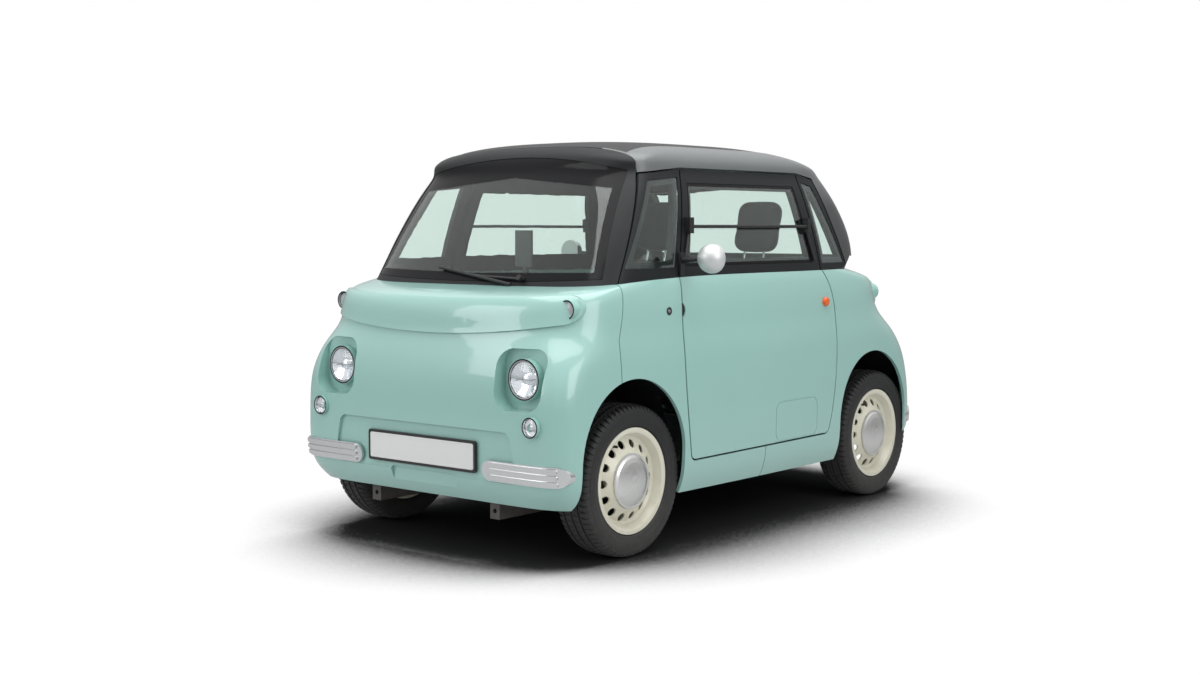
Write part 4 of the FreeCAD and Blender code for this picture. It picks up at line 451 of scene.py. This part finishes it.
for side, x in (("left", track), ("right", -track)):
    for end, y in axles:
        rings = []
        for pitch in range(tread_pitches):
            for part, cross in pitch_marks:
                angle = (pitch + part) / tread_pitches * math.tau
                ring = []
                for a, r, groove, fine in section:
                    depth = cross_groove * groove * cross + fine_cut * fine * cross
                    swing = angle + abs(a) * groove_sweep
                    ring.append((x + a / 1000, y + (r - depth) / 1000 * math.cos(swing),
                                 wheel_height + (r - depth) / 1000 * math.sin(swing)))
                rings.append(ring)
        tyre = ring_mesh(f"{side}_{end}_tyre_tread", rings, rubber)
        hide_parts(f"{side}_{end}_tyre")
        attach(tyre, f"{side}_{end}_wheel")

# Rims: pressed steel wheels with a ring of round vent holes, bolted to the hubs.
# They are painted cream, with a gloss coat that has picked up a little road dust.
cream = skin_material("cream_enamel", (0.72, 0.70, 0.575), (0.40, 0.36, 0.28), 0.28, 300, 0.08, 0.06, 0.5,
                      Coat_Weight=0.4, Coat_Roughness=0.08)
dress(cream, *(f"{side}_{end}_rim" for side in ("left", "right") for end in ("front", "rear")))


# Tyre valves: a black rubber stem with a cap.
# Each is pulled through a hole in the rim, between two vent holes.
def turned(name, x, y, z, side, profile, material, steps):
    """A piece turned round a line across the car, from (radius, how far out) pairs."""
    around = [(math.cos(k * math.tau / steps), math.sin(k * math.tau / steps)) for k in range(steps)]
    rings = [[(side * (x + out), y + radius * u, z + radius * w) for u, w in around]
             for radius, out in profile]
    return ring_mesh(name, rings, material, closed=False)


valve_turn, valve_circle, valve_foot = 2.094, 0.151, 0.6150
valve_profile = ((0.0075, 0.000), (0.0070, 0.004), (0.0052, 0.006), (0.0046, 0.020), (0.0052, 0.021),
                 (0.0050, 0.030), (0.0040, 0.0315), (0.0001, 0.032))
valve_rubber = skin_material("valve_rubber", (0.015, 0.015, 0.016), (0.1, 0.09, 0.08), 0.5, 1500, 0.4, 0.3,
                             0.4)
for side, turn_side in (("left", 1), ("right", -1)):
    for end, axle_y in axles:
        y = axle_y + valve_circle * math.cos(valve_turn)
        z = wheel_height + valve_circle * math.sin(valve_turn)
        valve = turned(f"{side}_{end}_valve", valve_foot, y, z, turn_side, valve_profile, valve_rubber, 20)
        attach(valve, f"{side}_{end}_wheel")

# Hub caps: domes of pressed stainless steel, brushed round and round.
# Each is clipped into the middle of its rim.
brushed = skin_material("brushed_cap", (0.80, 0.80, 0.79), (0.40, 0.38, 0.34), 0.26, 500, 0.05, 0.12, 0.3,
                        Metallic=1.0, Anisotropic=0.7)
tree = brushed.node_tree
tangent = tree.nodes.new("ShaderNodeTangent")
tangent.direction_type = "RADIAL"
tangent.axis = "X"
tree.links.new(tangent.outputs[0], tree.nodes["Principled BSDF"].inputs["Tangent"])
dress(brushed, *(f"{side}_{end}_hub_cap" for side in ("left", "right") for end in ("front", "rear")))

# Lamp rings: chromed plastic trim rings with a black rubber gasket round their outside. The collar that
# carries each ring is moulded in the body's colour.
chrome = skin_material("chromed_plastic", (0.80, 0.81, 0.82), (0.45, 0.44, 0.42), 0.09, 300, 0.03, 0.05,
                       0.15, Metallic=1.0)
gasket = chrome.copy()
gasket.name = "chrome_ring_and_gasket"
tree, shader, chrome_colour = finish_colour(gasket)
axes = parted(tree, place_on(tree))
spot = tree.nodes.new("ShaderNodeCombineXYZ")
tree.links.new(calculate(tree, "ABSOLUTE", axes["X"]), spot.inputs["X"])
tree.links.new(axes["Z"], spot.inputs["Z"])
ring_places = (((0.475, 0, 0.663), 0.0705), ((0.549, 0, 0.505), 0.0338), ((0.584, 0, 0.906), 0.0318))
gasket_inside, collar_inside, half_band = -0.0026, 0.0029, 0.010
zones = []
for inside_edge in (gasket_inside, collar_inside):
    zone = None
    for centre, radius in ring_places:
        away = tree.nodes.new("ShaderNodeVectorMath")
        away.operation = "DISTANCE"
        away.inputs[1].default_value = centre
        tree.links.new(spot.outputs[0], away.inputs[0])
        band = calculate(tree, "COMPARE", away.outputs["Value"], radius + inside_edge + half_band, half_band)
        zone = calculate(tree, "MAXIMUM", zone, band) if zone else band
    zones.append(zone)
rubber_zone, collar_zone = zones
collar_mint = (0.290, 0.525, 0.470)
ring_colour = blend(tree, rubber_zone, chrome_colour, (*plain_black, 1))
tree.links.new(blend(tree, collar_zone, ring_colour, (*collar_mint, 1)), shader.inputs["Base Color"])
tree.links.new(calculate(tree, "SUBTRACT", 1, rubber_zone), shader.inputs["Metallic"])
dress(gasket, "lamp_bezels")


# Lamps: a faceted reflector bowl with a bulb shade behind a domed lens. The head lamps and the small
# lower lamps are clear, the upper lamps are grey, and the rear ones are red. Each is glued in its ring.
def ring_at(x, y, z, radius, count):
    """Points round a line along the car."""
    return [(x + radius * math.cos(k * math.tau / count), y,
             z + radius * math.sin(k * math.tau / count)) for k in range(count)]


reflector = skin_material("reflector_silver", (0.82, 0.83, 0.85), (0.6, 0.6, 0.6), 0.07, 60, 0.05, 0.05, 0.0,
                          Metallic=1.0)
lens_colours = {"clear": ((0.96, 0.98, 1.0), 0.02, 1.0), "grey": ((0.58, 0.60, 0.62), 0.12, 0.35),
                "red": ((0.55, 0.012, 0.012), 0.05, 0.7)}
lens_materials = {}
for shade_name, (tint, frost, passing) in lens_colours.items():
    glass = bpy.data.materials.new(f"lens_{shade_name}")
    glass.use_nodes = True
    tree = glass.node_tree
    shader = tree.nodes["Principled BSDF"]
    shader.inputs["Base Color"].default_value = (*tint, 1)
    shader.inputs["Roughness"].default_value = frost
    shader.inputs["Transmission Weight"].default_value = passing
    shader.inputs["IOR"].default_value = 1.49
    flutes = tree.nodes.new("ShaderNodeTexWave")
    flutes.bands_direction = "X"
    flutes.inputs["Scale"].default_value = 34
    tree.links.new(place_on(tree), flutes.inputs["Vector"])
    tree.links.new(bumped(tree, flutes.outputs["Fac"], 0.18, 0.0006), shader.inputs["Normal"])
    lens_materials[shade_name] = glass
shade_profile = ((0.0, 0.30), (0.35, 0.30), (0.55, 0.27), (0.68, 0.18), (0.72, 0.01))
bowl_steps, dome_steps, lens_wall = 8, 10, 0.0022
dome_shares = [j / dome_steps for j in range(dome_steps + 1)]
# Each lamp has its name and lens, then its x, height, radius, back, rim and how far the lens domes.
for sign, node, lamps in (
        (-1, "head_lamp_lenses", (("front_head", "clear", 0.475, 0.663, 0.0625, 1.1870, 1.2090, 0.0100),
                                  ("front_low", "clear", 0.549, 0.505, 0.0295, 1.2492, 1.2552, 0.0075),
                                  ("front_high", "grey", 0.584, 0.906, 0.0275, 1.0830, 1.1000, 0.0060))),
        (1, "tail_lamp_lenses", (("rear_tail", "red", 0.475, 0.663, 0.0625, 1.2035, 1.2252, 0.0100),
                                 ("rear_low", "red", 0.549, 0.505, 0.0295, 1.2325, 1.2436, 0.0070),
                                 ("rear_high", "red", 0.584, 0.906, 0.0275, 0.9612, 0.9825, 0.0060)))):
    for which, colour, x, z, radius, back, rim_at, rise in lamps:
        for side in (1, -1):
            name = f"{which}_lamp_{'left' if side > 0 else 'right'}"
            bowl = []
            for i in range(bowl_steps + 1):
                share = i / bowl_steps
                y = sign * (rim_at - 0.002 - (rim_at - back - 0.003) * (1 - share ** 2))
                bowl.append(ring_at(side * x, y, z, radius * max(share, 0.02), 32))
            dish = ring_mesh(name + "_reflector", bowl, reflector, closed=False, crease=4)
            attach(dish, "car_body")
            shade = []
            for reach, share in shade_profile:
                y = sign * (back + 0.0005 + reach * (rim_at - back))
                shade.append(ring_at(side * x, y, z, radius * share, 24))
            bulb = ring_mesh(name + "_bulb_shade", shade, chrome, closed=False)
            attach(bulb, "car_body")
            dome = []
            for wall, shares in ((0, dome_shares[::-1]), (lens_wall, dome_shares)):
                for share in shares:
                    y = sign * (rim_at + rise * (1 - share ** 2) - wall)
                    dome.append(ring_at(side * x, y, z, radius * max(share, 0.004), 48))
            lens = ring_mesh(name + "_lens", dome, lens_materials[colour])
            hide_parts(node)
            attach(lens, "car_body")


# Number plates: pressed aluminium, painted white, with an embossed border. Each sits in a black
# plastic carrier that stands on two blocks in the fascia's recess.
def rounded(half_width, half_height, radius, steps=6):
    """Corners of a rounded rectangle, anticlockwise."""
    corners = []
    for quarter, (sx, sz) in enumerate(((1, 1), (-1, 1), (-1, -1), (1, -1))):
        for k in range(steps + 1):
            angle = (quarter + k / steps) * math.pi / 2
            corners.append((sx * (half_width - radius) + radius * math.cos(angle),
                            sz * (half_height - radius) + radius * math.sin(angle)))
    return corners


def capped(name, rings, material, crease=30):
    """A piece from rings of points with both ends closed."""
    count = len(rings[0])
    first, last = (tuple(sum(axis) / count for axis in zip(*ring)) for ring in (rings[0], rings[-1]))
    return ring_mesh(name, [[first] * count] + rings + [[last] * count], material, False, crease)


plate_height, block_x = 0.3775, 0.19
carrier_black = skin_material("plate_carrier", plain_black, (0.11, 0.10, 0.09), 0.42, 1500, 0.4, 0.3, 0.4)
plate_white = skin_material("plate_white", (0.74, 0.75, 0.74), (0.45, 0.43, 0.38), 0.36, 700, 0.15, 0.04,
                            0.35, Coat_Weight=0.3, Coat_Roughness=0.2)
# Layers from the back outwards, each with its half width, half height and distance out.
carrier_layers = ((0.2750, 0.0545, 0.0040), (0.2810, 0.0575, 0.0042), (0.2810, 0.0575, 0.0125),
                  (0.2795, 0.0560, 0.0140), (0.2720, 0.0490, 0.0140), (0.2715, 0.0485, 0.0118))
plate_layers = ((0.2705, 0.0475, 0.0119), (0.2705, 0.0475, 0.0128), (0.2700, 0.0470, 0.0132),
                (0.2675, 0.0445, 0.0132), (0.2669, 0.0439, 0.0141), (0.2645, 0.0415, 0.0141),
                (0.2639, 0.0409, 0.0132))
block_layers = ((0, -0.0002), (0, 0.0030), (0.001, 0.0041))
for end, sign, face in (("front", -1, 1.2416), ("rear", 1, 1.2396)):
    for name, layers, corner, material in ((f"{end}_plate_carrier", carrier_layers, 0.010, carrier_black),
                                           (f"{end}_blank_plate", plate_layers, 0.008, plate_white)):
        rings = [[(x, sign * (face + out), plate_height + z) for x, z in rounded(half, tall, corner)]
                 for half, tall, out in layers]
        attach(capped(name, rings, material), "car_body")
    for x in (-block_x, block_x):
        rings = [[(x + u, sign * (face + out), plate_height + w)
                  for u, w in rounded(0.03 - cut, 0.02 - cut, 0.006)] for cut, out in block_layers]
        block = capped(f"{end}_plate_block_{'left' if x > 0 else 'right'}", rings, carrier_black)
        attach(block, "car_body")


# Door locks, black finger cups and side markers. They are laid on the panels, so their places across
# the car come from the panels themselves; the right side is the left one turned half round.
def panel_x(node, y, z, side):
    """Where a side panel's face lies at a place along the car and a height."""
    hit, spot, *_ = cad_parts[node].ray_cast(Vector((side * 1.2, y, z)), Vector((-side, 0, 0)))
    return abs(spot.x) if hit else None


def button(name, node, y, z, side, profile, material, body):
    """A turned piece that sits on a side panel."""
    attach(turned(name, panel_x(node, y, z, side), y, z, side, profile, material, 36), body)


amber = bpy.data.materials.new("amber_reflector")
amber.use_nodes = True
tree = amber.node_tree
shader = tree.nodes["Principled BSDF"]
shader.inputs["Roughness"].default_value = 0.12
shader.inputs["Coat Weight"].default_value = 0.6
cells = tree.nodes.new("ShaderNodeTexVoronoi")
cells.inputs["Scale"].default_value = 420
tree.links.new(place_on(tree), cells.inputs["Vector"])
tree.links.new(blend(tree, cells.outputs["Distance"], (0.90, 0.16, 0.012, 1), (0.72, 0.085, 0.006, 1)),
               shader.inputs["Base Color"])
tree.links.new(bumped(tree, cells.outputs["Distance"], 0.25, 0.0008), shader.inputs["Normal"])
marker_profile = ((0.0200, 0.0002), (0.0200, 0.0030), (0.0192, 0.0036), (0.0188, 0.0100),
                  (0.0178, 0.0130), (0.0150, 0.0150), (0.0100, 0.0160), (0.0050, 0.0164), (0.0001, 0.0165))
lock_profile = ((0.0150, 0.0002), (0.0150, 0.0018), (0.0138, 0.0028), (0.0075, 0.0028), (0.0070, 0.0012),
                (0.0066, 0.0012))
barrel_profile = ((0.0065, 0.0002), (0.0065, 0.0020), (0.0060, 0.0027), (0.0001, 0.0027))
key_slot_shadow = (0.0012, 0.0052, 0.0011)
marker_height, lock_height, cup_height = 0.881, 0.885, 0.886
cup_radius, cup_overlap, cup_sweep, cup_middle = 0.0314, 0.0125, 1.17, 0.036
for side, body, marker_y, lock_y, cup_y, panel in (
        (1, "left_door", 0.450, -0.630, -0.5490, "front_side_panels"),
        (-1, "right_door", -0.476, 0.604, 0.5230, "rear_side_panels")):
    word = "left" if side > 0 else "right"
    door = word + "_door_shell"
    button(word + "_side_marker", door, marker_y, marker_height, side, marker_profile, amber, body)
    button(word + "_door_lock", panel, lock_y, lock_height, side, lock_profile, black, "car_body")
    button(word + "_lock_barrel", panel, lock_y, lock_height, side, barrel_profile, chrome, "car_body")
    # The key slot is a thin black inlay on the barrel's face, a painted shadow standing for the slot's
    # hollow.
    x = panel_x(panel, lock_y, lock_height, side)
    rings = [[(side * (x + out), lock_y + u, lock_height + w)
              for u, w in rounded(*key_slot_shadow, 3)] for out in (0.0024, 0.0029)]
    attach(capped(word + "_key_slot_shadow", rings, black), "car_body")
    x = panel_x(door, cup_y + side * cup_middle, cup_height, side)
    outline = [(cup_y + side * (cup_radius * math.cos(k * cup_sweep / 8) - cup_overlap),
                cup_height + cup_radius * math.sin(k * cup_sweep / 8)) for k in range(-8, 9)]
    rings = [[(side * (x - deep), y, z) for y, z in outline] for deep in (0.0130, 0.0045)]
    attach(capped(word + "_handle_cup", rings, black), body)

# Seats: foam pads under a dark woven cover, swollen by the foam and sewn down along two channels, on a
# black moulded plinth. The headrest stands on two steel rods.
fabric = skin_material("woven_cover", (0.030, 0.031, 0.033), (0.08, 0.08, 0.08), 0.85, 1900, 0.9, 0.35, 0.0,
                       Sheen_Weight=0.25, Sheen_Roughness=0.5)


def settled(piece):
    """Keep a piece as its modifiers have shaped it."""
    shape = piece.evaluated_get(bpy.context.evaluated_depsgraph_get())
    piece.data = bpy.data.meshes.new_from_object(shape)
    piece.modifiers.clear()


def pad(name, half, base, lean, channels, face_axis, power=0.30):
    """A swollen pad with sewn channels; half sizes and base are in the pad's own leaning frame."""
    def swollen(share):
        return math.copysign(abs(share) ** power, share)

    levels, around = 24, 48
    voxel, pressure, cloth_steps, most_swell = 0.009, 4, 20, 0.022
    seam_width, seam_depth, seam_facing = 0.006, 0.007, 0.2
    rings = []
    for i in range(1, levels):
        up = -math.pi / 2 + math.pi * i / levels
        wide, rise = swollen(math.cos(up)), swollen(math.sin(up))
        rings.append([(half[0] * wide * swollen(math.cos(t)), half[1] * wide * swollen(math.sin(t)),
                       half[2] * rise) for t in (k * math.tau / around + 0.01 for k in range(around))])
    piece = capped(name, rings, fabric, crease=180)
    remesh = piece.modifiers.new("remesh", "REMESH")
    remesh.mode = "VOXEL"
    remesh.voxel_size = voxel
    settled(piece)
    rest = [vertex.co.copy() for vertex in piece.data.vertices]
    cloth = piece.modifiers.new("cloth", "CLOTH")
    cloth.settings.use_pressure = True
    cloth.settings.uniform_pressure_force = pressure
    cloth.settings.effector_weights.gravity = 0
    cloth.point_cache.frame_end = cloth_steps
    for step in range(1, cloth_steps + 1):
        bpy.context.scene.frame_set(step)
    settled(piece)
    for vertex, start in zip(piece.data.vertices, rest):
        move = vertex.co - start
        if move.length > most_swell:
            vertex.co = start + move * (most_swell / move.length)
    bpy.context.scene.frame_set(1)
    for vertex in piece.data.vertices:
        facing = vertex.normal[face_axis[0]] * face_axis[1]
        if facing > seam_facing:
            dip = sum(math.exp(-((vertex.co[axis] - at) / seam_width) ** 2) for axis, at in channels)
            vertex.co -= vertex.normal * seam_depth * min(dip, 1) * facing
    smooth = piece.modifiers.new("smooth", "SUBSURF")
    smooth.levels = smooth.render_levels = 1
    settled(piece)
    piece.data.transform(Matrix.Translation(base) @ Matrix.Rotation(math.radians(-lean), 4, "X"))
    piece.data.polygons.foreach_set("use_smooth", [True] * len(piece.data.polygons))
    piece.data.materials.clear()
    piece.data.materials.append(fabric)
    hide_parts("seats")
    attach(piece, "car_body")


lean, seat_x, plinth_y = 14, 0.270, 0.222
cushion = Vector((0, 0.200, 0.507))
foot = Vector((0, 0.300, 0.470))
up = Vector((0, math.sin(math.radians(lean)), math.cos(math.radians(lean))))
across = Vector((0, math.cos(math.radians(lean)), -math.sin(math.radians(lean))))
forward = across * 0.055
back_reach, head_reach, stitch_x = 0.320, 0.760, 0.115
rod_radius, rod_reaches = 0.006, (0.60, 0.62, 0.64, 0.66, 0.68, 0.70)
plinth_layers = ((0.178, 0.162, 0.404), (0.185, 0.170, 0.407), (0.185, 0.170, 0.425),
                 (0.172, 0.160, 0.436), (0.172, 0.160, 0.452))
for side, word in ((1, "left"), (-1, "right")):
    middle = Vector((side * seat_x, 0, 0))
    stem = middle + foot
    pad(word + "_seat_cushion", (0.202, 0.196, 0.060), middle + cushion, 0,
        ((0, -stitch_x), (0, stitch_x), (1, -0.07)), (2, 1))
    pad(word + "_seat_back", (0.202, 0.042, 0.298), stem + up * back_reach + forward, lean,
        ((0, -stitch_x), (0, stitch_x), (2, 0.12)), (1, -1))
    pad(word + "_headrest", (0.108, 0.034, 0.112), stem + up * head_reach + forward, lean,
        (), (1, -1), 0.42)
    for rod_x in (-0.05, 0.05):
        rings = []
        for reach in rod_reaches:
            centre = stem + up * reach + forward + Vector((rod_x, 0, 0))
            rings.append([tuple(centre + Vector((rod_radius * math.cos(k * math.tau / 16), 0, 0))
                                + across * rod_radius * math.sin(k * math.tau / 16)) for k in range(16)])
        rod = capped(f"{word}_headrest_rod_{'left' if rod_x > 0 else 'right'}", rings, chrome)
        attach(rod, "car_body")
    rings = [[(side * seat_x + u, plinth_y + w, z) for u, w in rounded(half, deep, 0.03)]
             for half, deep, z in plinth_layers]
    plinth = capped(word + "_seat_plinth", rings, black)
    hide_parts("seats")
    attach(plinth, "car_body")
